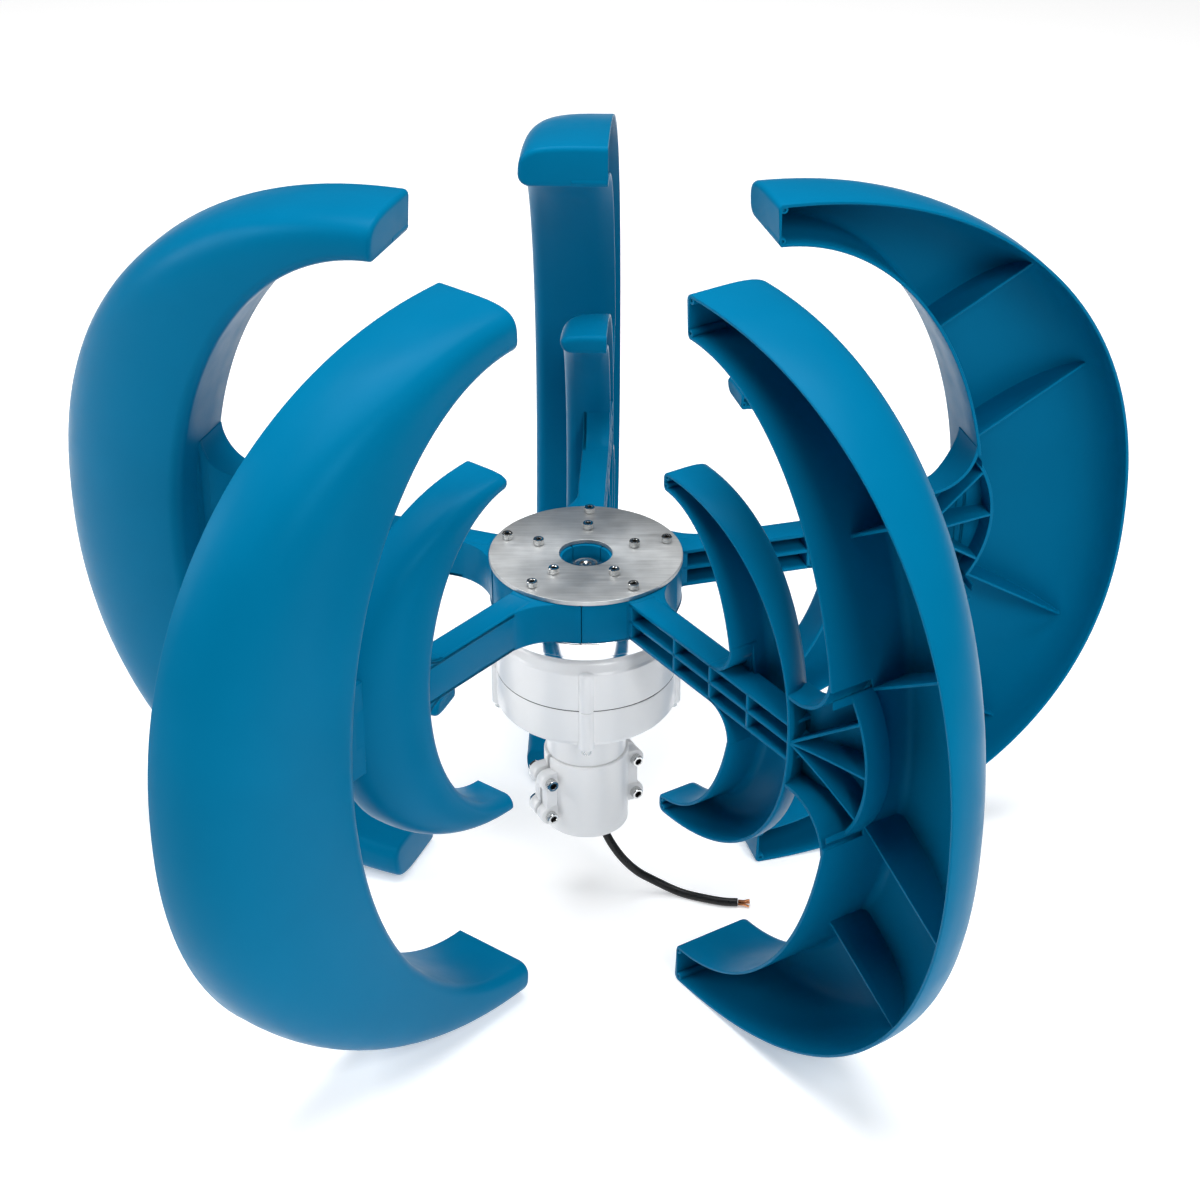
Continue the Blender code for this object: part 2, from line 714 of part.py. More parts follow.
def chord_ribs():
    """Straight low ribs across the hollow of the outer crescent, trimmed to its wall."""
    slabs = []
    for radius, height in CHORD_RIB_CENTRES:
        for side in (-1, 1):
            slab = block(
                "slab", (-CHORD_RIB_LENGTH / 2, CHORD_RIB_FRONT, -CHORD_RIB / 2),
                (CHORD_RIB_LENGTH / 2, OUTER_DEPTH, CHORD_RIB / 2))
            turn = Matrix.Rotation(-side * CHORD_RIB_ANGLE, 4, "Y")
            slab.transform(Matrix.Translation((radius, 0, side * height)) @ turn)
            slabs.append(slab)
    trimmed = bpy.data.objects.new("chord_ribs", merged("chord_ribs", slabs))
    CUTTERS.objects.link(trimmed)
    combine(trimmed, loft("rib_space", OUTER_CRESCENT.sections(BLADE_WALL / 2, OVERCUT)), "INTERSECT")
    settle(trimmed)
    mesh = trimmed.data
    bpy.data.objects.remove(trimmed)
    return mesh


def blade_mesh():
    """One moulding: root, ribbed arm, small inner crescent and large outer crescent, open to the rear."""
    blade = bpy.data.objects.new("blade", spine_mesh())
    CUTTERS.objects.link(blade)
    combine(blade, root_mesh(), "UNION")
    combine(blade, INNER_CRESCENT.shell("inner_crescent"), "UNION")
    combine(blade, OUTER_CRESCENT.shell("outer_crescent"), "UNION")
    combine(blade, plateau_mesh(), "UNION")
    combine(blade, flare_pocket())
    combine(blade, arm_pockets())
    for rib in fan_ribs():
        combine(blade, rib, "UNION")
    combine(blade, chord_ribs(), "UNION")
    combine(blade, bolt_circle_holes("blade_holes", BLADE_BOLT_RADIUS + FIT, -ARM_HEIGHT, ARM_HEIGHT))
    settle(blade)
    mesh = blade.data
    bpy.data.objects.remove(blade)
    return mesh


def build_blades():
    mesh = blade_mesh()
    for k, angle in enumerate(spread(BLADES, FIRST_BLADE_AZIMUTH)):
        place = Matrix.Translation((0, 0, BLADE_Z)) @ Matrix.Rotation(angle, 4, "Z")
        add_part(f"blade_{k + 1}", mesh, BLADE_BLUE, ROTOR, place)


def cap_screw(name, radius, head_radius, head_height, length):
    """A cylinder-head screw whose head seats on z = 0 and whose shank points down."""
    profile = [
        (0.0, head_height), (head_radius, head_height), (head_radius, 0.0),
        (radius, 0.0), (radius, -length), (0.0, -length)]
    return turned(name, profile, BOLT_SIDES, closed=False)


def hex_nut(name, across_flats, bore, height, sides):
    radius = across_flats / math.sqrt(3)
    return prism(name, [circle((0, 0), radius, 6), circle((0, 0), bore, sides)], 0.0, height)


def build_hub():
    holes = []
    for angle in spread(BLADES, FIRST_BLADE_AZIMUTH):
        for reach in (INNER_BOLT_CIRCLE, OUTER_BOLT_CIRCLE):
            around = spread(BOLT_SIDES, angle)
            rim = [polar(reach, angle) + polar(BLADE_BOLT_RADIUS + FIT, turn) for turn in around]
            holes.append([(point.x, point.y) for point in rim])
    outlines = [circle((0, 0), PLATE_RADIUS, HUB_SIDES), circle((0, 0), PLATE_HOLE, HUB_SIDES // 2), *holes]
    add_part("top_plate", prism("top_plate", outlines, PLATE_BOTTOM, PLATE_TOP), PLATE_STEEL, ROTOR)

    profile = [
        (FLANGE_BORE, BOSS_TOP), (FLANGE_BOSS_RADIUS, BOSS_TOP), (FLANGE_BOSS_RADIUS, FLANGE_TOP),
        (FLANGE_RADIUS, FLANGE_TOP), (FLANGE_RADIUS, FLANGE_BOTTOM), (FLANGE_BORE, FLANGE_BOTTOM)]
    flange = add_part("hub_flange", turned("hub_flange", profile, HUB_SIDES), POLISHED_ALUMINIUM, ROTOR)
    depth = BLADE_BOLT_GRIP + FIT
    combine(flange, bolt_circle_holes(
        "thread_holes", BLADE_BOLT_RADIUS + FIT, FLANGE_TOP - depth, FLANGE_TOP + OVERCUT,
        FIRST_BLADE_AZIMUTH, BLADES))
    combine(flange, key_block("flange_keyway", FIT, OVERCUT))
    settle(flange)

    length = PLATE_THICKNESS + ARM_HEIGHT + BLADE_BOLT_GRIP + 3 * FIT
    screw = cap_screw(
        "blade_bolt", BLADE_BOLT_RADIUS, BLADE_BOLT_HEAD_RADIUS, BLADE_BOLT_HEAD_HEIGHT, length)
    number = 1
    for angle in spread(BLADES, FIRST_BLADE_AZIMUTH):
        for reach in (INNER_BOLT_CIRCLE, OUTER_BOLT_CIRCLE):
            seat = Matrix.Translation((reach, 0, PLATE_TOP + FIT))
            place = Matrix.Rotation(angle, 4, "Z") @ seat
            add_part(f"blade_bolt_{number}", screw, BOLT_STEEL, ROTOR, place)
            number += 1


def key_block(name, clearance, above=0.0):
    """The key between the shaft and the hub flange, or the slot for it."""
    low = FLANGE_BOTTOM + FIT - clearance
    reach = THREAD_RADIUS - KEY_HEIGHT / 2
    half = KEY_WIDTH / 2 + clearance
    top = low + KEY_LENGTH + 2 * clearance
    if above:
        top = BOSS_TOP + above
    return block(name, (reach - clearance, -half, low), (reach + KEY_HEIGHT + clearance, half, top))


def build_shaft():
    bottom = LOWER_BEARING_Z - FIT
    shoulder = FLANGE_BOTTOM - FIT
    profile = [
        (0.0, SHAFT_TOP), (THREAD_RADIUS, SHAFT_TOP), (THREAD_RADIUS, shoulder),
        (SHAFT_RADIUS, shoulder), (SHAFT_RADIUS, bottom), (0.0, bottom)]
    mesh = turned("rotor_shaft", profile, SHAFT_SIDES, closed=False)
    shaft = add_part("rotor_shaft", mesh, BOLT_STEEL, ROTOR)
    combine(shaft, key_block("shaft_keyway", FIT))
    settle(shaft)
    add_part("hub_key", key_block("hub_key", 0.0), BOLT_STEEL, ROTOR)

    washer_low = BOSS_TOP + FIT
    rings = [circle((0, 0), WASHER_RADIUS, SHAFT_SIDES), circle((0, 0), THREAD_RADIUS + FIT, SHAFT_SIDES)]
    washer = prism("shaft_washer", rings, washer_low, washer_low + WASHER_THICKNESS)
    add_part("shaft_washer", washer, BOLT_STEEL, ROTOR)
    nut = hex_nut("shaft_nut", NUT_ACROSS_FLATS, THREAD_RADIUS + FIT, NUT_HEIGHT, SHAFT_SIDES)
    add_part("shaft_nut", nut, BOLT_STEEL, ROTOR, Matrix.Translation((0, 0, NUT_BOTTOM)))


def build_bearings():
    """Two sealed bearings, each an outer and an inner race."""
    for name, low in (("lower", LOWER_BEARING_Z), ("upper", UPPER_BEARING_Z)):
        high = low + BEARING_WIDTH
        split = BEARING_SPLIT + FIT
        outer = [(split, high), (BEARING_RADIUS, high), (BEARING_RADIUS, low), (split, low)]
        inner = [(BEARING_BORE, high), (BEARING_SPLIT, high), (BEARING_SPLIT, low), (BEARING_BORE, low)]
        race = turned(f"{name}_bearing_outer", outer, SHAFT_SIDES)
        add_part(f"{name}_bearing_outer", race, BOLT_STEEL, STATOR)
        race = turned(f"{name}_bearing_inner", inner, SHAFT_SIDES)
        add_part(f"{name}_bearing_inner", race, BOLT_STEEL, ROTOR)
    low = HOUSING_TOP - SEAL_THICKNESS
    bore = SHAFT_RADIUS + FIT
    lip = [(bore, HOUSING_TOP), (SEAL_RADIUS, HOUSING_TOP), (SEAL_RADIUS, low), (bore, low)]
    add_part("shaft_seal", turned("shaft_seal", lip, SHAFT_SIDES), BLACK_RUBBER, STATOR)


def sector(inner, outer, half_angle, steps):
    """Plan outline of a piece of a ring, centred on the X axis."""
    degrees = math.degrees(half_angle)
    near = arc((0, 0), inner, degrees, -degrees, steps)
    far = arc((0, 0), outer, -degrees, degrees, steps)
    return near + far


def build_rotor_core():
    rings = [circle((0, 0), ROTOR_CORE_RADIUS, 24), circle((0, 0), SHAFT_RADIUS + FIT, SHAFT_SIDES)]
    add_part("rotor_core", prism("rotor_core", rings, ROTOR_BOTTOM, ROTOR_TOP), LAMINATION_STEEL, ROTOR)
    # the flats of the faceted core lie inside its circle, so the magnets start from the circle
    half = math.pi / MAGNETS - MAGNET_GAP / 2 / MAGNET_RADIUS
    inner = (ROTOR_CORE_RADIUS + FIT) / math.cos(half / 4)
    magnet = prism("magnet", [sector(inner, MAGNET_RADIUS, half, 4)], ROTOR_BOTTOM, ROTOR_TOP)
    for k, angle in enumerate(spread(MAGNETS)):
        add_part(f"magnet_{k + 1}", magnet, MAGNET_NICKEL, ROTOR, Matrix.Rotation(angle, 4, "Z"))


def build_stator():
    pitch = math.tau / TEETH
    tooth = pitch * TOOTH_SHARE / 2
    slot = pitch / 2 - tooth
    toothed = []
    for angle in spread(TEETH):
        toothed += [
            polar(CORE_BORE, angle - tooth), polar(CORE_BORE, angle), polar(CORE_BORE, angle + tooth),
            polar(SLOT_ROOT, angle + tooth), polar(SLOT_ROOT, angle + pitch - tooth)]
    outlines = [circle((0, 0), CORE_RADIUS, CASE_SIDES), [(p.x, p.y) for p in toothed]]
    add_part("stator_core", prism("stator_core", outlines, CORE_BOTTOM, CORE_TOP), LAMINATION_STEEL, STATOR)

    outer = SLOT_ROOT * math.cos(slot / 2) - WINDING_BACK_GAP
    inner = CORE_BORE + WINDING_BACK_GAP + FIT
    ring = [circle((0, 0), outer, TEETH * 2), circle((0, 0), inner, TEETH)]
    lower = prism("end_turns", ring, CORE_BOTTOM - FIT - END_TURN_HEIGHT, CORE_BOTTOM - FIT)
    winding = add_part("stator_winding", lower, COPPER, STATOR)
    combine(winding, prism("end_turns", ring, CORE_TOP + FIT, CORE_TOP + FIT + END_TURN_HEIGHT), "UNION")
    sunk = END_TURN_HEIGHT / 2
    width = slot - 2 * FIT / inner
    bar = prism("bar", [sector(inner + FIT, outer - FIT, width, 1)], CORE_BOTTOM - sunk, CORE_TOP + sunk)
    bars = []
    for angle in spread(TEETH, pitch / 2):
        copy = bar.copy()
        copy.transform(Matrix.Rotation(angle, 4, "Z"))
        bars.append(copy)
    combine(winding, merged("slot_bars", bars), "UNION")
    settle(winding)


def housing_bosses(name, low, high):
    """Half-round bosses standing out from the casing wall."""
    near = HOUSING_BORE + HOUSING_WALL / 3
    outline = [(near, -BOSS_RADIUS)] + arc((BOSS_CIRCLE, 0), BOSS_RADIUS, -90, 90, 8) + [(near, BOSS_RADIUS)]
    bosses = []
    for angle in spread(HOUSING_BOLTS):
        boss = prism("boss", [outline], low, high)
        boss.transform(Matrix.Rotation(angle, 4, "Z"))
        bosses.append(boss)
    return merged(name, bosses)


def housing_bolt_holes(name, low, high):
    rods = []
    for angle in spread(HOUSING_BOLTS):
        place = Matrix.Translation(polar(BOSS_CIRCLE, angle))
        rods.append(rod("hole", HOUSING_BOLT_RADIUS + FIT, low, high, BOLT_SIDES, place))
    return merged(name, rods)


def build_housing():
    """The cast generator casing: a lower half with the neck and spigot, and an upper half."""
    floor = HOUSING_BOTTOM + HOUSING_FLOOR
    gland_hole = GLAND_PLUG_RADIUS + FIT
    ledge = HOUSING_BORE - LEDGE
    boss_low = HOUSING_BOTTOM + BOSS_LIFT
    profile = [
        (HOUSING_BORE, SPLIT_Z), (HOUSING_RADIUS, SPLIT_Z), (HOUSING_RADIUS, HOUSING_BOTTOM + FOOT_HEIGHT),
        (HOUSING_RADIUS - FOOT_INSET / 3, HOUSING_BOTTOM + FOOT_HEIGHT / 3),
        (HOUSING_RADIUS - FOOT_INSET, HOUSING_BOTTOM), (NECK_RADIUS + NECK_FLARE, HOUSING_BOTTOM),
        (NECK_RADIUS, HOUSING_BOTTOM - NECK_FLARE), (NECK_RADIUS, NECK_BOTTOM), (SPIGOT_RADIUS, NECK_BOTTOM),
        (SPIGOT_RADIUS, 0.0), (NECK_BORE, 0.0), (NECK_BORE, GLAND_SEAT_Z), (gland_hole, GLAND_SEAT_Z),
        (gland_hole, floor), (BEARING_SEAT, floor), (BEARING_SEAT, LOWER_BEARING_Z + BEARING_WIDTH),
        (BEARING_BOSS, LOWER_BEARING_Z + BEARING_WIDTH), (BEARING_BOSS, floor), (ledge, floor),
        (ledge, CORE_BOTTOM - FIT), (HOUSING_BORE, CORE_BOTTOM - FIT)]
    lower = add_part("lower_housing", turned("lower_housing", profile, CASE_SIDES), WHITE_PAINT, STATOR)
    combine(lower, housing_bosses("lower_bosses", boss_low, SPLIT_Z), "UNION")
    combine(lower, housing_bolt_holes("lower_bolt_holes", boss_low - OVERCUT, SPLIT_Z + OVERCUT))
    settle(lower)

    base = SPLIT_Z + FIT
    roof = HOUSING_TOP - HOUSING_FLOOR
    shoulder = HOUSING_TOP - SHOULDER_HEIGHT
    pocket_top = UPPER_BEARING_Z + BEARING_WIDTH + FIT
    seal_floor = HOUSING_TOP - SEAL_THICKNESS - FIT
    profile = [
        (SEAL_RADIUS + FIT, HOUSING_TOP), (HOUSING_RADIUS - SHOULDER_INSET, HOUSING_TOP),
        (HOUSING_RADIUS - SHOULDER_INSET * 0.42, HOUSING_TOP - SHOULDER_HEIGHT * 0.28),
        (HOUSING_RADIUS - SHOULDER_INSET * 0.11, HOUSING_TOP - SHOULDER_HEIGHT * 0.62),
        (HOUSING_RADIUS, shoulder), (HOUSING_RADIUS, base), (HOUSING_BORE, base),
        (HOUSING_BORE, CORE_TOP + FIT), (ledge, CORE_TOP + FIT), (ledge, roof), (BEARING_BOSS, roof),
        (BEARING_BOSS, UPPER_BEARING_Z), (BEARING_SEAT, UPPER_BEARING_Z), (BEARING_SEAT, pocket_top),
        (SHAFT_RADIUS + RUN_GAP, pocket_top), (SHAFT_RADIUS + RUN_GAP, seal_floor),
        (SEAL_RADIUS + FIT, seal_floor)]
    upper = add_part("upper_housing", turned("upper_housing", profile, CASE_SIDES), WHITE_PAINT, STATOR)
    combine(upper, housing_bosses("upper_bosses", base, shoulder), "UNION")
    tip = boss_low + HOUSING_BOLT_LENGTH
    combine(upper, housing_bolt_holes("upper_bolt_holes", base - OVERCUT, tip + FIT))
    settle(upper)

    head = HOUSING_BOLT_RADIUS * 1.7
    screw = cap_screw("housing_bolt", HOUSING_BOLT_RADIUS, head, HOUSING_BOLT_RADIUS * 2, HOUSING_BOLT_LENGTH)
    for k, angle in enumerate(spread(HOUSING_BOLTS)):
        seat = Matrix.Translation(polar(BOSS_CIRCLE, angle, boss_low - FIT))
        place = seat @ Matrix.Rotation(math.pi, 4, "X")
        add_part(f"housing_bolt_{k + 1}", screw, BOLT_STEEL, STATOR, place)


def build_clamp():
    """Two half shells with two lugs each side, drawn together by four bolts across the split."""
    turn = Matrix.Rotation(CLAMP_AZIMUTH, 4, "Z")
    far = CLAMP_RADIUS + LUG_REACH
    for name, side in (("front", 1), ("rear", -1)):
        tube = [
            (POLE_RADIUS, CLAMP_HALF_HEIGHT), (CLAMP_RADIUS, CLAMP_HALF_HEIGHT),
            (CLAMP_RADIUS, -CLAMP_HALF_HEIGHT), (POLE_RADIUS, -CLAMP_HALF_HEIGHT)]
        mesh = turned("clamp_half", tube, CLAMP_SIDES)
        half = add_part(f"clamp_half_{name}", mesh, WHITE_PAINT, STATOR, turn)
        for end in (-1, 1):
            for height in (-LUG_SPACING / 2, LUG_SPACING / 2):
                near = POLE_RADIUS + CLAMP_WALL / 2
                outline = [(near, height - LUG_RADIUS)]
                outline += arc((LUG_REACH, height), LUG_RADIUS, -90, 90, 6)
                outline += [(near, height + LUG_RADIUS)]
                lug = prism("lug", [outline], -LUG_DEPTH, LUG_DEPTH, upright=True)
                if end < 0:
                    lug.transform(Matrix.Rotation(math.pi, 4, "Z"))
                combine(half, lug, "UNION")
        edge = side * CLAMP_SPLIT_GAP / 2
        low, high = sorted((edge, -side * far))
        combine(half, block("other_half", (-far, low, -far), (far, high, far)))
        across = Matrix.Rotation(math.pi / 2, 4, "X")
        combine(half, merged("clamp_bolt_holes", [
            rod("hole", CLAMP_BOLT_RADIUS + FIT, -far, far, BOLT_SIDES, place @ across)
            for place in clamp_bolt_places()]))
        settle(half)

    nut_height = CLAMP_BOLT_RADIUS * 1.7
    head_height = CLAMP_BOLT_RADIUS * 2
    length = 2 * LUG_DEPTH + 2 * FIT + nut_height + CLAMP_BOLT_RADIUS
    screw = cap_screw("clamp_bolt", CLAMP_BOLT_RADIUS, CLAMP_BOLT_RADIUS * 1.7, head_height, length)
    nut = hex_nut("clamp_nut", CLAMP_BOLT_RADIUS * 3.4, CLAMP_BOLT_RADIUS + FIT, nut_height, BOLT_SIDES)
    seat = LUG_DEPTH + FIT
    for k, place in enumerate(clamp_bolt_places()):
        aim = turn @ place @ Matrix.Rotation(-math.pi / 2, 4, "X")
        add_part(f"clamp_bolt_{k + 1}", screw, BOLT_STEEL, STATOR, aim @ Matrix.Translation((0, 0, seat)))
        under = aim @ Matrix.Translation((0, 0, -seat - nut_height))
        add_part(f"clamp_nut_{k + 1}", nut, BOLT_STEEL, STATOR, under)


def clamp_bolt_places():
    places = []
    for end in (1, -1):
        for height in (-LUG_SPACING / 2, LUG_SPACING / 2):
            places.append(Matrix.Translation((end * LUG_REACH, 0, height)))
    return places


def smooth_route(points, step):
    """Even points along a smooth curve through the route's own points."""
    points = [Vector(point) for point in points]
    ends = [2 * points[0] - points[1], *points, 2 * points[-1] - points[-2]]
    fine = []
    for a, b, c, d in zip(ends, ends[1:], ends[2:], ends[3:]):
        for k in range(24):
            t = k / 24
            bend = (2 * a - 5 * b + 4 * c - d) * t ** 2 + (3 * b - a - 3 * c + d) * t ** 3
            fine.append(0.5 * (2 * b + (c - a) * t + bend))
    fine.append(points[-1])
    length = sum((q - p).length for p, q in zip(fine, fine[1:]))
    count = max(2, round(length / step))
    even, travelled, target = [fine[0]], 0.0, length / count
    for p, q in zip(fine, fine[1:]):
        span = (q - p).length
        while span and travelled + span >= target * len(even) and len(even) < count:
            even.append(p.lerp(q, (target * len(even) - travelled) / span))
        travelled += span
    even.append(fine[-1])
    return even


def tube(name, points, radius, resolution=2):
    curve = bpy.data.curves.new(name, "CURVE")
    curve.dimensions = "3D"
    curve.bevel_depth = radius
    curve.bevel_resolution = resolution
    curve.use_fill_caps = True
    spline = curve.splines.new("POLY")
    spline.points.add(len(points) - 1)
    for node, point in zip(spline.points, points):
        node.co = (*point, 1.0)
    holder = bpy.data.objects.new(name, curve)
    mesh = bpy.data.meshes.new_from_object(holder)
    bpy.data.objects.remove(holder)
    weld(mesh)
    return mesh


def build_cable():
    top = GLAND_SEAT_Z - FIT
    profile = [
        (0.0, top + GLAND_PLUG_LENGTH), (GLAND_PLUG_RADIUS, top + GLAND_PLUG_LENGTH),
        (GLAND_PLUG_RADIUS, top), (GLAND_FLANGE_RADIUS, top), (GLAND_FLANGE_RADIUS, top - GLAND_LENGTH / 2),
        (CABLE_RADIUS + GLAND_LIP, GLAND_BOTTOM), (0.0, GLAND_BOTTOM)]
    add_part("cable_gland", turned("cable_gland", profile, 12, closed=False), BLACK_RUBBER, STATOR)

    route = smooth_route(CABLE_ROUTE, CABLE_STEP)
    add_part("power_cable", tube("power_cable", route, CABLE_RADIUS), CABLE_BLACK, STATOR)

    end = route[-1]
    ahead = (route[-1] - route[-2]).normalized()
    aside = ahead.cross(Vector((0, 0, 1))).normalized()
    above = aside.cross(ahead)
    for k, angle in enumerate(spread(3, math.pi / 2)):
        outward = aside * math.cos(angle) + above * math.sin(angle)
        near = end + ahead * FIT + outward * CORE_WIRE_CIRCLE
        far = near + ahead * CORE_WIRE_LENGTH + outward * CORE_WIRE_SPLAY
        middle = near + ahead * CORE_WIRE_LENGTH / 2
        wire = tube(f"cable_core_{k + 1}", [near, middle, far], CORE_WIRE_RADIUS)
        add_part(f"cable_core_{k + 1}", wire, COPPER, STATOR)


build_blades()
build_hub()
build_shaft()
build_bearings()
build_rotor_core()
build_stator()
build_housing()
build_clamp()
build_cable()
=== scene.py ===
"""Looks of the five-blade wind turbine.

Smooth mouldings, turned metal, painted castings, cable, stage and light.
"""

import math

import bmesh
import bpy
from mathutils import Matrix, Vector


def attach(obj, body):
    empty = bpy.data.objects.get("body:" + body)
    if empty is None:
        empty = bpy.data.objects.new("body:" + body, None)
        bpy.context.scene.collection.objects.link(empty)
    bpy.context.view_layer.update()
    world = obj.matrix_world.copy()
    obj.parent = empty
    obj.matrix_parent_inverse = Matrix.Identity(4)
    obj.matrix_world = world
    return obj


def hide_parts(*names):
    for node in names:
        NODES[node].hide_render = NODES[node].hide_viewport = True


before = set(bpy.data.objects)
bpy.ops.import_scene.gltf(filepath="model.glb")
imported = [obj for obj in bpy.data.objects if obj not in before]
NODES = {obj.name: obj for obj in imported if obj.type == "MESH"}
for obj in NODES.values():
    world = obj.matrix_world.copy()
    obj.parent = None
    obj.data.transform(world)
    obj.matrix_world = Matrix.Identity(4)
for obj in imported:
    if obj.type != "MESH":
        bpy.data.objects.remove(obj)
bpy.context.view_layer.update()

# Sizes shared with the solids, in metres
FIT = 0.0003
FLOOR_Z = -0.1102
BLADE_Z = 0.2048
PLATE_BOTTOM = 0.2226
PLATE_TOP = 0.2263
PLATE_RADIUS = 0.0800
PLATE_HOLE = 0.0220
FLANGE_BOTTOM = 0.1703
FLANGE_TOP = 0.1870
FLANGE_RADIUS = 0.0800
HUB_BOSS = 0.0175
HUB_BOSS_TOP = 0.1975
SHAFT_TOP = 0.2166
SHAFT_STEP = 0.1700
SHAFT_RADIUS = 0.0122
SHAFT_END_RADIUS = 0.0100
SHAFT_BORE = SHAFT_END_RADIUS + FIT
WASHER_RADIUS = 0.0160
WASHER_THICK = 0.0025
NUT_Z = 0.2006
HOUSING_BOTTOM = 0.0803
SPLIT_Z = 0.1193
HOUSING_TOP = 0.1691
HOUSING_RADIUS = 0.0760
HOUSING_BORE = 0.0688
SHOULDER_Z = HOUSING_TOP - 0.0145
SPLIT_ROUND = 0.0011
CASING_FLOOR = 0.0853
CASING_CEILING = 0.1641
STATOR_BOTTOM = 0.1001
STATOR_TOP = 0.1388
BEARING_BORE = 0.0263
BEARING_WALL = 0.0313
LOWER_BEARING_TOP = 0.1006
UPPER_BEARING_BOTTOM = 0.1476
UPPER_BEARING_TOP = 0.1629
SEAL_HOLE = 0.0134
SEAL_RADIUS = 0.0183
SEAL_BOTTOM = 0.1648
CASING_BOLTS = 4
BOSS_CIRCLE = 0.0733
BOSS_RADIUS = 0.0067
BOSS_LOW = HOUSING_BOTTOM + 0.0019
NECK_BOTTOM = 0.0363
NECK_RADIUS = 0.0340
NECK_BORE = 0.0200
NECK_CEILING = 0.0753
SPIGOT_RADIUS = 0.0297
CLAMP_GAP = 0.0020
CLAMP_NUT_HEIGHT = 0.0051
CLAMP_HALF_HEIGHT = 0.0360
POLE_RADIUS = 0.0300
CLAMP_RADIUS = 0.0363
CLAMP_AZIMUTH = math.radians(207)
LUG_REACH = 0.0410
LUG_RADIUS = 0.0085
LUG_SPACING = 0.0340
LUG_DEPTH = 0.0125
BLADES = 5
FIRST_BLADE = math.radians(231.3)
BOLT_CIRCLES = (0.0418, 0.0696)

BLADE_WALL = 0.0030
RIM = -0.0120
CUT_FRONT = RIM - 0.0100    # cutters start this far before the rim
LAP = 0.0010                # one wall of the moulding runs this far into the next
ROOT_BORE = 0.0195
ROOT_RIM = 0.0793
ROOT_HALF = 0.0175
CHEEK_END = 0.1180
ARM_HALF = 0.0170
ARM_BACK = 0.0120
ARM_FRONT = -0.0115
ARM_RIBS = (0.1430, 0.1910, 0.2400)
ARM_START = 0.0640
ARM_POCKET = 0.0845
POCKET_LAP = 0.0040
ARM_FILLET = 0.0250
RIDGE = 0.0100
FLARE_RADIUS = 0.0390
FLARE_HEIGHT = 0.0800
FLARE_BACK = 0.0280
FAN_FRONT = 0.0060
FAN_RIB = 0.0025
FAN_ANGLE = 35
FAN_RADIUS = 0.0970
FAN_CENTRE = 0.2680
FAN_SPAN = 41
FAN_ROOM_HALF = 0.0585
FAN_ROOM_REACH = 0.0300
CHORD_HALF = 0.0700
CHORD_RIB = 0.0025
CHORD_FRONT = 0.0250
CHORD_ANGLE = math.radians(31)
CHORD_CENTRES = ((0.3405, 0.1925), (0.3870, 0.0880))

GLAND_HOLE = 0.0083
GLAND_PLUG = 0.0080
GLAND_FLANGE = 0.0110
GLAND_MOUTH = 0.0057
GLAND_TOP = 0.0850
GLAND_SEAT = 0.0750
GLAND_STEP = 0.0702
GLAND_BOTTOM = 0.0650
CABLE_RADIUS = 0.0037
CABLE_REST = -0.1062
CABLE_ROUTE = (
    (0.0000, 0.0000, 0.0647), (0.0000, 0.0000, 0.0400), (0.0030, -0.0030, -0.0050),
    (0.0140, -0.0130, -0.0400), (0.0270, -0.0180, -0.0640), (0.0430, -0.0160, -0.0850),
    (0.0610, -0.0150, -0.0980), (0.0820, -0.0200, CABLE_REST), (0.1030, -0.0290, CABLE_REST),
    (0.1200, -0.0340, CABLE_REST), (0.1320, -0.0350, CABLE_REST))


# Materials

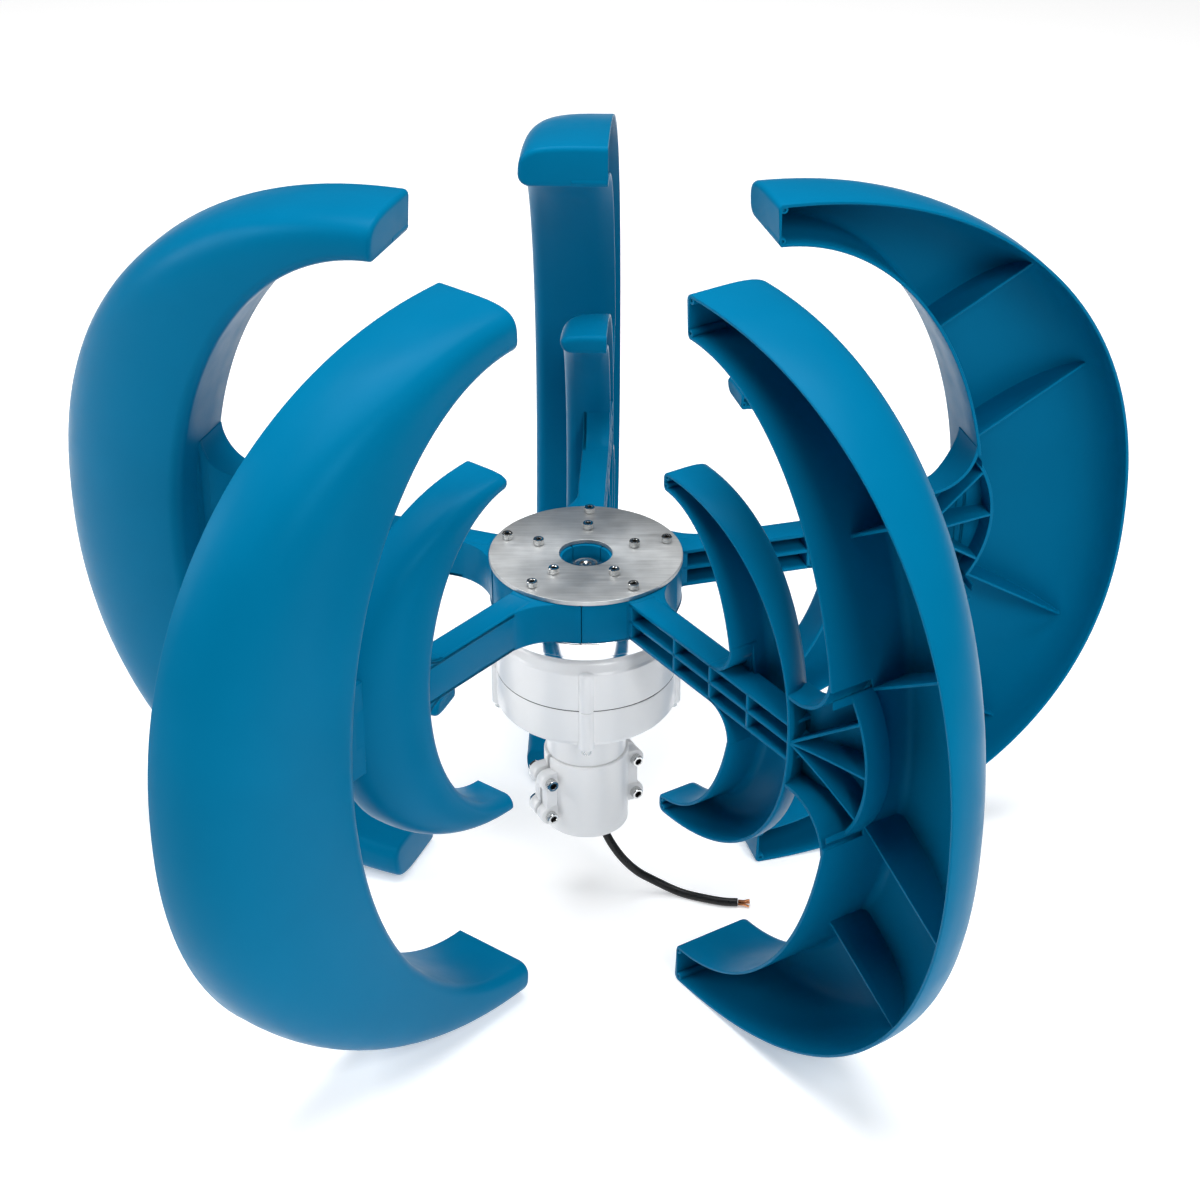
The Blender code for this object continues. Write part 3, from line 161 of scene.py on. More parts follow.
class Look:
    """A material whose colour, gloss and grain come from procedural nodes."""

    def __init__(self, name, metallic=0.0, **sockets):
        self.material = bpy.data.materials.new(name)
        self.material.use_nodes = True
        self.nodes = self.material.node_tree.nodes
        self.links = self.material.node_tree.links
        self.shader = self.nodes["Principled BSDF"]
        self.shader.inputs["Metallic"].default_value = metallic
        for socket, value in sockets.items():
            self.shader.inputs[socket.replace("_", " ")].default_value = value
        self.coords = self.nodes.new("ShaderNodeTexCoord").outputs["Object"]
        self.normal = None

    def stretched(self, *scale):
        mapping = self.nodes.new("ShaderNodeMapping")
        mapping.inputs["Scale"].default_value = scale
        self.links.new(self.coords, mapping.inputs["Vector"])
        return mapping.outputs["Vector"]

    def noise(self, scale, detail=2.0, vector=None):
        noise = self.nodes.new("ShaderNodeTexNoise")
        noise.inputs["Scale"].default_value = scale
        noise.inputs["Detail"].default_value = detail
        self.links.new(vector or self.coords, noise.inputs["Vector"])
        return noise.outputs["Fac"]

    def math(self, operation, first, second=None):
        step = self.nodes.new("ShaderNodeMath")
        step.operation = operation
        for socket, value in zip(step.inputs, (first, second)):
            if isinstance(value, (int, float)):
                socket.default_value = value
            elif value is not None:
                self.links.new(value, socket)
        return step.outputs["Value"]

    def axes(self):
        split = self.nodes.new("ShaderNodeSeparateXYZ")
        self.links.new(self.coords, split.inputs["Vector"])
        return split.outputs["X"], split.outputs["Y"], split.outputs["Z"]

    def tint(self, factor, dark, light, low=0.3, high=0.7):
        ramp = self.nodes.new("ShaderNodeValToRGB")
        ramp.color_ramp.elements[0].position = low
        ramp.color_ramp.elements[0].color = (*dark, 1.0)
        ramp.color_ramp.elements[1].position = high
        ramp.color_ramp.elements[1].color = (*light, 1.0)
        self.links.new(factor, ramp.inputs["Fac"])
        self.links.new(ramp.outputs["Color"], self.shader.inputs["Base Color"])

    def gloss(self, factor, smooth, rough):
        span = self.nodes.new("ShaderNodeMapRange")
        span.inputs["From Min"].default_value = 0.3
        span.inputs["From Max"].default_value = 0.7
        span.inputs["To Min"].default_value = smooth
        span.inputs["To Max"].default_value = rough
        self.links.new(factor, span.inputs["Value"])
        self.links.new(span.outputs["Result"], self.shader.inputs["Roughness"])

    def soften(self, radius):
        """Shade the edges as though they were rounded."""
        bevel = self.nodes.new("ShaderNodeBevel")
        bevel.samples = 4
        bevel.inputs["Radius"].default_value = radius
        self.normal = bevel.outputs["Normal"]
        self.links.new(self.normal, self.shader.inputs["Normal"])

    def bump(self, height, distance, strength=1.0):
        bump = self.nodes.new("ShaderNodeBump")
        bump.inputs["Strength"].default_value = strength
        bump.inputs["Distance"].default_value = distance
        self.links.new(height, bump.inputs["Height"])
        if self.normal:
            self.links.new(self.normal, bump.inputs["Normal"])
        self.normal = bump.outputs["Normal"]
        self.links.new(self.normal, self.shader.inputs["Normal"])


def moulded_blue():
    """Satin plastic with a fine moulded grain and slow waves of gloss."""
    look = Look("blade_blue", Specular_IOR_Level=0.08, Specular_Tint=(0.10, 0.62, 1.0, 1.0))
    look.tint(look.noise(7.0, 3.0), (0.000, 0.132, 0.268), (0.000, 0.147, 0.298))
    look.gloss(look.noise(38.0, 4.0), 0.30, 0.40)
    look.soften(0.0008)
    look.bump(look.noise(16.0, 1.0), 0.0006, 0.35)
    look.bump(look.noise(1300.0, 2.0), 0.00004, 0.5)
    return look.material


def brushed_plate():
    """Sheet metal, brushed along one way, with cloudy handling marks."""
    look = Look("plate_steel", 1.0, Anisotropic=0.3)
    streaks = look.noise(1.0, 4.0, look.stretched(30.0, 620.0, 30.0))
    clouds = look.noise(46.0, 6.0)
    wear = look.math("MULTIPLY", look.math("ADD", streaks, clouds), 0.5)
    look.tint(wear, (0.47, 0.48, 0.48), (0.62, 0.63, 0.63), 0.36, 0.64)
    look.gloss(wear, 0.46, 0.56)
    look.bump(streaks, 0.00003, 0.5)
    return look.material


def turned_metal(name, dark, light, smooth, rough, pitch):
    """Metal from the lathe: fine rings about the axis."""
    look = Look(name, 1.0)
    x, y, z = look.axes()
    radius = look.math("SQRT", look.math("ADD", look.math("MULTIPLY", x, x), look.math("MULTIPLY", y, y)))
    rings = look.math("SINE", look.math("MULTIPLY", look.math("ADD", radius, z), math.tau / pitch))
    look.tint(look.noise(60.0, 3.0), dark, light)
    look.gloss(look.noise(150.0, 4.0), smooth, rough)
    look.bump(rings, 0.000004, 0.5)
    return look.material


def bolt_metal(name, knurls=0):
    """Bright plated steel; a knurled one has ridges round its axis."""
    look = Look(name, 1.0)
    look.tint(look.noise(220.0, 3.0), (0.66, 0.66, 0.65), (0.80, 0.80, 0.79))
    look.gloss(look.noise(420.0, 3.0), 0.10, 0.22)
    if knurls:
        x, y, _ = look.axes()
        ridges = look.math("SINE", look.math("MULTIPLY", look.math("ARCTAN2", y, x), knurls))
        look.bump(ridges, 0.00018, 0.8)
    else:
        look.bump(look.noise(900.0, 2.0), 0.00001, 0.5)
    return look.material


def white_paint():
    """Glossy sprayed paint over a casting, with a slight orange peel."""
    look = Look("white_paint", Coat_Weight=0.25, Coat_Roughness=0.12)
    look.tint(look.noise(22.0, 3.0), (0.842, 0.844, 0.846), (0.860, 0.861, 0.862))
    look.gloss(look.noise(70.0, 3.0), 0.28, 0.33)
    look.soften(0.0006)
    look.bump(look.noise(520.0, 1.5), 0.00004, 0.20)
    return look.material


def grained(name, dark, light, smooth, rough, scale, depth, metallic=0.0):
    """A plain grained surface: rubber, cable sheath, magnet plating, and the painted shade inside screw
    sockets.
    """
    look = Look(name, metallic, Specular_IOR_Level=0.25)
    look.tint(look.noise(scale, 3.0), dark, light)
    look.gloss(look.noise(scale * 0.5, 3.0), smooth, rough)
    look.bump(look.noise(scale * 2.0, 2.0), depth, 0.5)
    return look.material


def laminated():
    """Stacked sheet steel: fine lines across the axis."""
    look = Look("lamination_steel", 1.0)
    _, _, z = look.axes()
    sheets = look.math("SINE", look.math("MULTIPLY", z, math.tau / 0.0005))
    look.tint(look.noise(90.0, 3.0), (0.15, 0.15, 0.16), (0.26, 0.26, 0.27))
    look.gloss(look.noise(120.0, 3.0), 0.38, 0.55)
    look.bump(sheets, 0.00008, 0.6)
    return look.material


def wound_copper(name, turns):
    """Copper wire: close ridges running along the winding."""
    look = Look(name, 1.0)
    x, y, _ = look.axes()
    wires = look.math("SINE", look.math("MULTIPLY", look.math("ADD", x, y), turns))
    look.tint(look.noise(160.0, 3.0), (0.52, 0.19, 0.075), (0.72, 0.32, 0.14))
    look.gloss(look.noise(240.0, 3.0), 0.22, 0.36)
    look.bump(wires, 0.0002, 0.7)
    return look.material


BLUE = moulded_blue()
PAINT = white_paint()
PLATE = brushed_plate()
ALUMINIUM = turned_metal("polished_aluminium", (0.80, 0.81, 0.82), (0.90, 0.90, 0.91), 0.07, 0.14, 0.0006)
STEEL = bolt_metal("bolt_steel")
KNURL = bolt_metal("bolt_knurl", 40)
# Painted shade: a near-black metal for the inside of each hexagon socket, standing in for the shade that
# falls in the recess
SOCKET_PAINTED_SHADE = grained("socket_painted_shade", (0.018, 0.018, 0.018), (0.045, 0.044, 0.042), 0.30, 0.45, 800.0, 0.00001, 1.0)
TURNED = turned_metal("turned_steel", (0.55, 0.55, 0.55), (0.70, 0.70, 0.69), 0.14, 0.26, 0.0012)
LAMINATED = laminated()
COPPER = wound_copper("copper_winding", 5200.0)
STRANDS = wound_copper("copper_strands", 9000.0)
MAGNET = grained("magnet_nickel", (0.42, 0.42, 0.41), (0.55, 0.55, 0.53), 0.18, 0.30, 260.0, 0.00001, 1.0)
RUBBER = grained("black_rubber", (0.010, 0.010, 0.011), (0.020, 0.020, 0.021), 0.46, 0.62, 900.0, 0.00003)
SHEATH = grained("cable_black", (0.010, 0.010, 0.010), (0.020, 0.020, 0.020), 0.26, 0.40, 700.0, 0.00002)


# Geometry helpers

def polar(radius, angle, height=0.0):
    return Vector((radius * math.cos(angle), radius * math.sin(angle), height))


def spread(count, first=0.0):
    return [first + math.tau * k / count for k in range(count)]


def arc(centre, radius, start, end, steps):
    """Points along an arc, angles in degrees, both ends included."""
    points = []
    for k in range(steps + 1):
        angle = math.radians(start + (end - start) * k / steps)
        points.append((centre[0] + radius * math.cos(angle), centre[1] + radius * math.sin(angle)))
    return points


def rounded(corners, steps=4):
    """A closed outline from corners given as x, y and rounding radius."""
    outline = []
    for k, (x, y, radius) in enumerate(corners):
        here = Vector((x, y))
        before = Vector(corners[k - 1][:2]) - here
        after = Vector(corners[(k + 1) % len(corners)][:2]) - here
        if radius == 0:
            outline.append(here)
            continue
        reach = radius / math.tan(before.angle(after) / 2)
        reach = min(reach, before.length * 0.49, after.length * 0.49)
        start = here + before.normalized() * reach
        end = here + after.normalized() * reach
        for n in range(steps + 1):
            t = n / steps
            outline.append(start * (1 - t) ** 2 + here * 2 * t * (1 - t) + end * t ** 2)
    return outline


def to_mesh(name, work):
    bmesh.ops.recalc_face_normals(work, faces=work.faces)
    mesh = bpy.data.meshes.new(name)
    work.to_mesh(mesh)
    work.free()
    return mesh


def skin(rows, closed=True, caps=True, wrap=False):
    """A mesh through rows of points, closed on themselves, capped at the ends or joined last to first."""
    work = bmesh.new()
    lines = [[work.verts.new(point) for point in row] for row in rows]
    pairs = list(zip(lines, lines[1:]))
    if wrap:
        pairs.append((lines[-1], lines[0]))
    for row, after in pairs:
        for k in range(len(row) if closed else len(row) - 1):
            n = (k + 1) % len(row)
            work.faces.new((row[k], row[n], after[n], after[k]))
    if caps and not wrap:
        work.faces.new(lines[0])
        work.faces.new(lines[-1])
    return to_mesh("skin", work)


def lathe(corners, sides=96, steps=4, start=0.0, sweep=math.tau):
    """Turn a rounded outline of radius and height about Z, all round or through part of a turn."""
    outline = rounded(corners, steps)
    whole = abs(sweep - math.tau) < 1e-6
    count = sides if whole else sides + 1
    rows = []
    for k in range(count):
        angle = start + sweep * k / sides
        rows.append([polar(p.x, angle, p.y) for p in outline])
    return skin(rows, wrap=whole)


def prism(outline, low, high, edge=0.0, upright=False):
    """Extrude an outline with softened end edges. An upright one lies in XZ and extrudes along Y."""
    work = bmesh.new()
    base = work.faces.new([work.verts.new((x, y, low)) for x, y in outline])
    lifted = bmesh.ops.extrude_face_region(work, geom=[base])["geom"]
    raised = [item for item in lifted if isinstance(item, bmesh.types.BMVert)]
    bmesh.ops.translate(work, vec=(0, 0, high - low), verts=raised)
    if edge:
        ends = [e for e in work.edges if abs(e.verts[0].co.z - e.verts[1].co.z) < 1e-9]
        bmesh.ops.bevel(work, geom=ends, offset=edge, segments=2, profile=0.5, affect="EDGES")
    mesh = to_mesh("prism", work)
    if upright:
        mesh.transform(Matrix(((1, 0, 0, 0), (0, 0, 1, 0), (0, 1, 0, 0), (0, 0, 0, 1))))
        mesh.flip_normals()
    return mesh


def block(low, high, edge=0.0004):
    """A box with softened edges."""
    work = bmesh.new()
    bmesh.ops.create_cube(work, size=1.0)
    bmesh.ops.scale(work, vec=Vector(high) - Vector(low), verts=work.verts)
    bmesh.ops.translate(work, vec=(Vector(low) + Vector(high)) / 2, verts=work.verts)
    if edge:
        bmesh.ops.bevel(work, geom=list(work.edges), offset=edge, segments=2, profile=0.5, affect="EDGES")
    return to_mesh("block", work)


def moved(mesh, matrix):
    mesh.transform(matrix)
    return mesh


def joined(name, meshes, sharp=32):
    """One mesh out of several, smooth except across its edges."""
    work = bmesh.new()
    for mesh in meshes:
        work.from_mesh(mesh)
    mesh = bpy.data.meshes.new(name)
    work.to_mesh(mesh)
    work.free()
    mesh.shade_smooth()
    mesh.set_sharp_from_angle(angle=math.radians(sharp))
    return mesh


def carved(mesh, tool, operation="DIFFERENCE"):
    """A mesh cut by another, or what the two have in common."""
    pair = [bpy.data.objects.new("carving", item) for item in (mesh, tool)]
    for item in pair:
        bpy.context.scene.collection.objects.link(item)
    step = pair[0].modifiers.new("cut", "BOOLEAN")
    step.operation = operation
    step.solver = "EXACT"
    step.object = pair[1]
    graph = bpy.context.evaluated_depsgraph_get()
    result = bpy.data.meshes.new_from_object(pair[0].evaluated_get(graph))
    for item in pair:
        bpy.data.objects.remove(item)
    return result


def place(name, mesh, materials, body, node, matrix=Matrix.Identity(4)):
    """Set a finished piece on its body, in place of a solid where one is named."""
    piece = bpy.data.objects.new(name, mesh)
    bpy.context.scene.collection.objects.link(piece)
    if not mesh.materials:
        for material in materials:
            mesh.materials.append(material)
    piece.matrix_world = matrix
    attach(piece, body)
    if node:
        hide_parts(node)
    return piece


# Blades

class Edge:
    """One long edge of a crescent: a squared-off half ellipse standing on the tip radius."""

    def __init__(self, tip, reach, half_height, power):
        self.tip = tip
        self.reach = reach
        self.half_height = half_height
        self.power = power

    def at_angle(self, angle):
        across = abs(math.cos(angle)) ** (2 / self.power)
        up = math.copysign(abs(math.sin(angle)) ** (2 / self.power), math.sin(angle))
        return Vector((self.tip + self.reach * across, 0.0, self.half_height * up))

    def angle_at(self, past_tip):
        return math.acos((past_tip / self.reach) ** (self.power / 2))

    def radius_at(self, height):
        share = (abs(height) / self.half_height) ** self.power
        return self.tip + self.reach * (1 - share) ** (1 / self.power)


class Crescent:
    """A hollow C-shaped scoop with rounded lips, ridge and tips."""

    LIP = 0.0008
    TIP_ROUND = 0.0050
    CORNER = 0.0020
    TIP_STEPS = (0.0, 0.0004, 0.0011, 0.0021, 0.0031, 0.0038, 0.0052)
    INSIDE_START = 0.0031
    TIP_POWER = 5.0
    MIDDLE_POWER = 2.4
    PAST_RIM = 0.0050

    def __init__(self, outer, inner, depth, stations):
        self.outer = outer
        self.inner = inner
        self.depth = depth
        self.stations = stations

    def angles(self, first):
        """Station angles from tip to tip, close together where the tips turn over."""
        near = [d for d in self.TIP_STEPS if d >= first]
        ends = [self.outer.angle_at(d) for d in near]
        last = ends[-1]
        steps = [last * (1 - k / self.stations) for k in range(1, self.stations)]
        upper = ends + steps
        return upper + [0.0] + [-angle for angle in reversed(upper)]

    def profile(self, width, depth, ridge, middle):
        """Up the inner wall, round the ridge and over the face down to the outer rim."""
        power = self.TIP_POWER + (self.MIDDLE_POWER - self.TIP_POWER) * middle
        top = depth * (1 - (ridge / width) ** power) ** (1 / power)
        points = [(0.0, (top - ridge) * share) for share in (0.35, 0.7)]
        points += [(ridge - ridge * math.cos(a), top - ridge + ridge * math.sin(a))
                   for a in (math.pi / 2 * n / 6 for n in range(7))]
        start = math.acos((ridge / width) ** (power / 2))
        for n in range(1, 18):
            angle = start * (1 - n / 18)
            points.append((width * math.cos(angle) ** (2 / power), depth * math.sin(angle) ** (2 / power)))
        return points

    def ring(self, angle, inset, lip):
        """One section. The lip rounds the rim outward for the inner skin, inward for the outer one."""
        inner = self.inner.at_angle(angle)
        outer = self.outer.at_angle(angle)
        across = (outer - inner).normalized()
        start = inner + across * inset
        width = (outer - inner).length - 2 * inset
        depth = self.depth - inset
        ridge = max(RIDGE - inset, RIDGE / 3)
        body = self.profile(width, depth, ridge, math.cos(angle))
        turn = [(abs(lip) * up, lip * over) for over, up in ((1.0, 0.0), (0.29, 0.29), (0.0, 1.0))]
        near = [(over, up) for up, over in turn]
        far = [(width - over, up) for up, over in reversed(turn)]
        return [start + across * over + Vector((0, RIM + up, 0)) for over, up in near + body + far]

    def tip_inset(self, angle, radius, first):
        past = self.outer.reach * abs(math.cos(angle)) ** (2 / self.outer.power) - first
        left = max(0.0, radius - max(past, 0.0))
        return radius - math.sqrt(radius ** 2 - left ** 2)

    def shell(self):
        work = bmesh.new()
        outside = []
        inside = []
        for angle in self.angles(0.0):
            inset = self.tip_inset(angle, self.TIP_ROUND, 0.0)
            outside.append([work.verts.new(p) for p in self.ring(angle, inset, self.LIP)])
        for angle in self.angles(self.INSIDE_START):
            inset = BLADE_WALL + self.tip_inset(angle, self.CORNER, BLADE_WALL)
            inside.append([work.verts.new(p) for p in self.ring(angle, inset, -self.LIP)])
        for rows in (outside, inside):
            for row, after in zip(rows, rows[1:]):
                for k in range(len(row) - 1):
                    work.faces.new((row[k], row[k + 1], after[k + 1], after[k]))
            work.faces.new(rows[0])
            work.faces.new(rows[-1])
        lead = (len(outside) - len(inside)) // 2
        for k in range(len(inside) - 1):
            for end in (0, -1):
                near, far = outside[k + lead], outside[k + lead + 1]
                work.faces.new((near[end], far[end], inside[k + 1][end], inside[k][end]))
        for flip in (1, -1):
            rows = outside[::flip]
            for k in range(lead - 1):
                work.faces.new((rows[k][0], rows[k + 1][0], rows[k + 1][-1], rows[k][-1]))
            end = inside[::flip][0]
            before, after = rows[lead - 1], rows[lead]
            work.faces.new((before[0], after[0], end[0], end[-1], after[-1], before[-1]))
        return to_mesh("crescent", work)

    def core(self, inset):
        """The room inside walls of one thickness, to cut or trim other pieces with."""
        rows = []
        for angle in self.angles(inset):
            ring = self.ring(angle, inset, 0.0)
            ring[0].y = ring[-1].y = RIM - self.PAST_RIM
            rows.append([ring[0]] + ring[3:-3] + [ring[-1]])
        return skin(rows)


OUTER = Crescent(Edge(0.1530, 0.3280, 0.3150, 2.20), Edge(0.1550, 0.1890, 0.2790, 2.05), 0.0750, 44)
INNER = Crescent(Edge(0.1270, 0.1670, 0.1570, 2.20), Edge(0.1270, 0.0930, 0.1410, 2.00), 0.0400, 30)
ARM_JOIN = INNER.inner.radius_at(ARM_HALF + ARM_FILLET)
ARM_END = INNER.outer.tip + INNER.outer.reach
ARM_STOP = ARM_END - BLADE_WALL / 2
FLARE_JOIN = OUTER.inner.radius_at(FLARE_HEIGHT)
FLARE_MID = FLARE_JOIN - FLARE_RADIUS
FLARE_LOW = FLARE_HEIGHT - FLARE_RADIUS
FLARE_START = ARM_END - 0.0105
FLARE_ROOM_START = ARM_END - 0.0085
MOUTH_END = -4              # where the flare's curve stops, in degrees
ROOM_END = -14


def flare_back(radius):
    share = min(max((radius - FLARE_MID) / FLARE_RADIUS, 0.0), 1.0)
    share = share * share * (3 - 2 * share)
    return ARM_BACK + (FLARE_BACK - ARM_BACK) * share


def trumpet(past, curve, back):
    """A solid under a mouth curve, from past the rim to the sloping back."""
    rows = []
    for radius, height in curve:
        rear = flare_back(radius) - back
        front = ARM_FRONT - past
        section = ((front, height), (rear, height), (rear, -height), (front, -height))
        rows.append([(radius, depth, level) for depth, level in section])
    return skin(rows)


def mouth_curve(inset, first, last, past):
    """Half heights of the flare from the inner crescent out into the wall of the outer one."""
    points = [(first, FLARE_LOW - inset)]
    points += arc((FLARE_MID, FLARE_HEIGHT), FLARE_RADIUS + inset, -90, last, 18)
    points.append((points[-1][0] + past, points[-1][1]))
    return points


def flare():
    """The trumpet between the crescents, hollow from the front, and its back as far as the outer wall."""
    solid = trumpet(0.0, mouth_curve(0.0, FLARE_START, MOUTH_END, 0.0018), -0.0002)
    corner = arc((FLARE_MID, FLARE_HEIGHT), FLARE_RADIUS, -30, MOUTH_END, 6)
    top = corner[-1][1]
    heights = [top - 2 * top * k / 12 for k in range(13)]
    wall = [(OUTER.inner.radius_at(z) + BLADE_WALL / 2, z) for z in heights]
    back = wall + [(r, -z) for r, z in reversed(corner)] + corner
    plate = prism(back, FLARE_BACK - BLADE_WALL, FLARE_BACK - 0.0003, upright=True)
    open_front = carved(solid, carved(flare_room(), INNER.core(0.0)))
    return [carved(open_front, INNER.core(BLADE_WALL / 2)), plate]


def flare_room():
    """The hollow of the trumpet, as a cutter that runs on past the rim and through the outer wall."""
    return trumpet(0.004, mouth_curve(BLADE_WALL, FLARE_ROOM_START, ROOM_END, 0.004), BLADE_WALL)


def fan_cutter(room):
    """The room over the plateau, as a cutter with this outline."""
    return prism(room, CUT_FRONT, FLARE_BACK - BLADE_WALL, upright=True)


def plateau():
    """The low stretch of the flare inside the outer crescent, with its arc wall."""
    height = FAN_RADIUS * math.sin(math.radians(FAN_SPAN))
    edge = OUTER.inner
    inner = [(edge.radius_at(z) + BLADE_WALL * 0.66, z) for z in (-height * 0.5, 0.0, height * 0.5)]
    end = arc((FAN_CENTRE, 0), FAN_RADIUS, FAN_SPAN, -FAN_SPAN, 40)
    solid = prism(inner + end, FAN_FRONT, FLARE_BACK - 0.0005, 0.0005, upright=True)
    reach = FAN_RADIUS - BLADE_WALL
    low = math.degrees(math.asin(FAN_ROOM_HALF / reach))
    near = edge.tip + edge.reach - FAN_ROOM_REACH
    room = arc((FAN_CENTRE, 0), reach, low, -low, 36)
    room += [(near, -FAN_ROOM_HALF), (near, FAN_ROOM_HALF)]
    return carved(solid, fan_cutter(room)), room


def fan_ribs():
    """Three ribs that spread from the end of the arm, level with it, and run down to the arc wall."""
    ribs = []
    start = ARM_STOP
    shift = start - FAN_CENTRE
    for degrees in (-FAN_ANGLE, 0, FAN_ANGLE):
        angle = math.radians(degrees)
        reach = math.sqrt(FAN_RADIUS ** 2 - (shift * math.sin(angle)) ** 2) - shift * math.cos(angle) - 0.0012
        shares = [k / 14 for k in range(15)]
        front = [(reach * t, ARM_FRONT + (FAN_FRONT + 0.0005 - ARM_FRONT) * t ** 0.8) for t in shares]
        back = [(reach * t, flare_back(start + reach * t * math.cos(angle)) - LAP)
                for t in reversed(shares)]
        rib = prism(front + back, -FAN_RIB / 2, FAN_RIB / 2, 0.0004)
        ribs.append(moved(rib, Matrix.Translation((start, 0, 0)) @ Matrix.Rotation(-angle, 4, "Y")))
    return ribs


def chord_ribs():
    """Low straight ribs across the hollow of the outer crescent, trimmed to its wall."""
    ribs = []
    hollow = OUTER.core(BLADE_WALL / 2)
    for radius, height in CHORD_CENTRES:
        for side in (-1, 1):
            slab = block((-CHORD_HALF, CHORD_FRONT, -CHORD_RIB / 2),
                         (CHORD_HALF, OUTER.depth, CHORD_RIB / 2))
            turn = Matrix.Rotation(-side * CHORD_ANGLE, 4, "Y")
            slab.transform(Matrix.Translation((radius, 0, side * height)) @ turn)
            ribs.append(carved(slab, hollow, "INTERSECT"))
    return ribs


def arm():
    """A channel with a lengthwise rib and cross ribs, open to the front."""
    near = ARM_POCKET - POCKET_LAP
    wall = BLADE_WALL
    pieces = [
        block((near, ARM_BACK - wall, -ARM_HALF), (ARM_STOP, ARM_BACK, ARM_HALF)),
        block((near, ARM_FRONT, ARM_HALF - wall), (ARM_STOP, ARM_BACK, ARM_HALF)),
        block((near, ARM_FRONT, -ARM_HALF), (ARM_STOP, ARM_BACK, wall - ARM_HALF)),
        block((near, ARM_FRONT, -wall / 2), (ARM_STOP, ARM_BACK - LAP, wall / 2)),
        block((ARM_START, ARM_FRONT, -ARM_HALF), (ARM_POCKET, ARM_BACK, ARM_HALF), 0.0008)]
    for radius in ARM_RIBS:
        pieces.append(block((radius - wall / 2, ARM_FRONT, LAP - ARM_HALF),
                            (radius + wall / 2, ARM_BACK - LAP, ARM_HALF - LAP)))
    return pieces


def arm_fillets():
    """Thin walls that carry the flanges of the arm round into the inner crescent."""
    walls = []
    centre = (ARM_JOIN - ARM_FILLET, ARM_HALF + ARM_FILLET)
    for side in (1, -1):
        near = arc(centre, ARM_FILLET, -90, 4, 14)
        far = arc(centre, ARM_FILLET + BLADE_WALL, 4, -90, 14)
        outline = [(r, side * z) for r, z in near + far]
        walls.append(prism(outline, ARM_FRONT, ARM_BACK, 0.0005, upright=True))
        web = near + [(ARM_JOIN + 0.002, ARM_HALF - 0.002)]
        walls.append(prism([(r, side * z) for r, z in web], ARM_BACK - BLADE_WALL, ARM_BACK, upright=True))
    return walls


def root():
    """The fifth part of the hub ring: a hollow cheek behind the arm, round under the plate before it."""
    half = math.pi / BLADES
    side = Vector((math.sin(half), -math.cos(half), 0)) * FIT
    other = Vector((side.x, -side.y, 0))
    bore = [polar(ROOT_BORE, half * k / 6) for k in range(-5, 6)]
    bore = [polar(ROOT_BORE, -half) + other, *bore, polar(ROOT_BORE, half) + side]
    start = polar(PLATE_RADIUS, half) + side
    end = Vector((CHEEK_END, ARM_BACK - LAP, 0))
    pull = Vector((PLATE_RADIUS, ARM_BACK - LAP, 0))
    cheek = []
    for k in range(15):
        t = k / 14
        cheek.append(start * (1 - t) ** 2 + pull * 2 * t * (1 - t) + end * t ** 2)
    seat = [Vector((ARM_POCKET - LAP, y, 0)) for y in (ARM_BACK - 2 * LAP, ARM_FRONT + LAP)]
    front = [polar(ROOT_RIM, -half * k / 12) for k in range(3, 12)]
    front.append(polar(ROOT_RIM, -half) + other)
    outline = [(p.x, p.y) for p in bore + cheek + seat + front]
    return prism(outline, -ROOT_HALF, ROOT_HALF, 0.0008)


def tip_pegs():
    """Round moulded pegs in the corners of each tip, level with the rim."""
    pegs = []
    for crescent, radius in ((OUTER, 0.0032), (INNER, 0.0024)):
        inset = BLADE_WALL + radius * 0.55
        past = BLADE_WALL + radius * 0.7
        angle = crescent.outer.angle_at(past)
        inner = crescent.inner.at_angle(angle)
        outer = crescent.outer.at_angle(angle)
        across = (outer - inner).normalized()
        for point in (inner + across * inset, outer - across * inset):
            for side in (1, -1):
                peg = lathe([
                    (0.0, 0.0012, 0.0), (radius * 0.38, 0.0012, 0.0), (radius * 0.42, 0.0, 0.0),
                    (radius, 0.0, 0.0004), (radius, 0.030, 0.0), (0.0, 0.030, 0.0)], 20, 2)
                turn = Matrix.Rotation(-math.pi / 2, 4, "X")
                spot = Matrix.Translation((point.x, RIM + 0.0004, side * point.z))
                pegs.append(moved(peg, spot @ turn))
    return pegs


def blade_mesh():
    low, room = plateau()
    outer = carved(OUTER.shell(), flare_room())
    outer = carved(outer, fan_cutter(room))
    gate = ARM_HALF + ARM_FILLET
    inner = carved(INNER.shell(), block(
        (ARM_JOIN - 0.012, CUT_FRONT, -gate), (ARM_JOIN + 0.014, ARM_BACK - BLADE_WALL, gate), 0.0))
    walls = [outer, inner, *flare(), low, root()]
    ribs = [*fan_ribs(), *chord_ribs(), *arm(), *arm_fillets(), *tip_pegs()]
    return joined("blade", walls + ribs)


def build_blades():
    mesh = blade_mesh()
    for k, angle in enumerate(spread(BLADES, FIRST_BLADE)):
        spot = Matrix.Translation((0, 0, BLADE_Z)) @ Matrix.Rotation(angle, 4, "Z")
        place(f"blade_moulding_{k + 1}", mesh, [BLUE], "rotor", f"blade_{k + 1}", spot)


# Fasteners

def hexagon(across_flats, turn):
    """Distance from the centre to a hexagon's side, one way."""
    sector = math.tau / 6
    return across_flats / 2 / math.cos((turn + sector / 2) % sector - sector / 2)


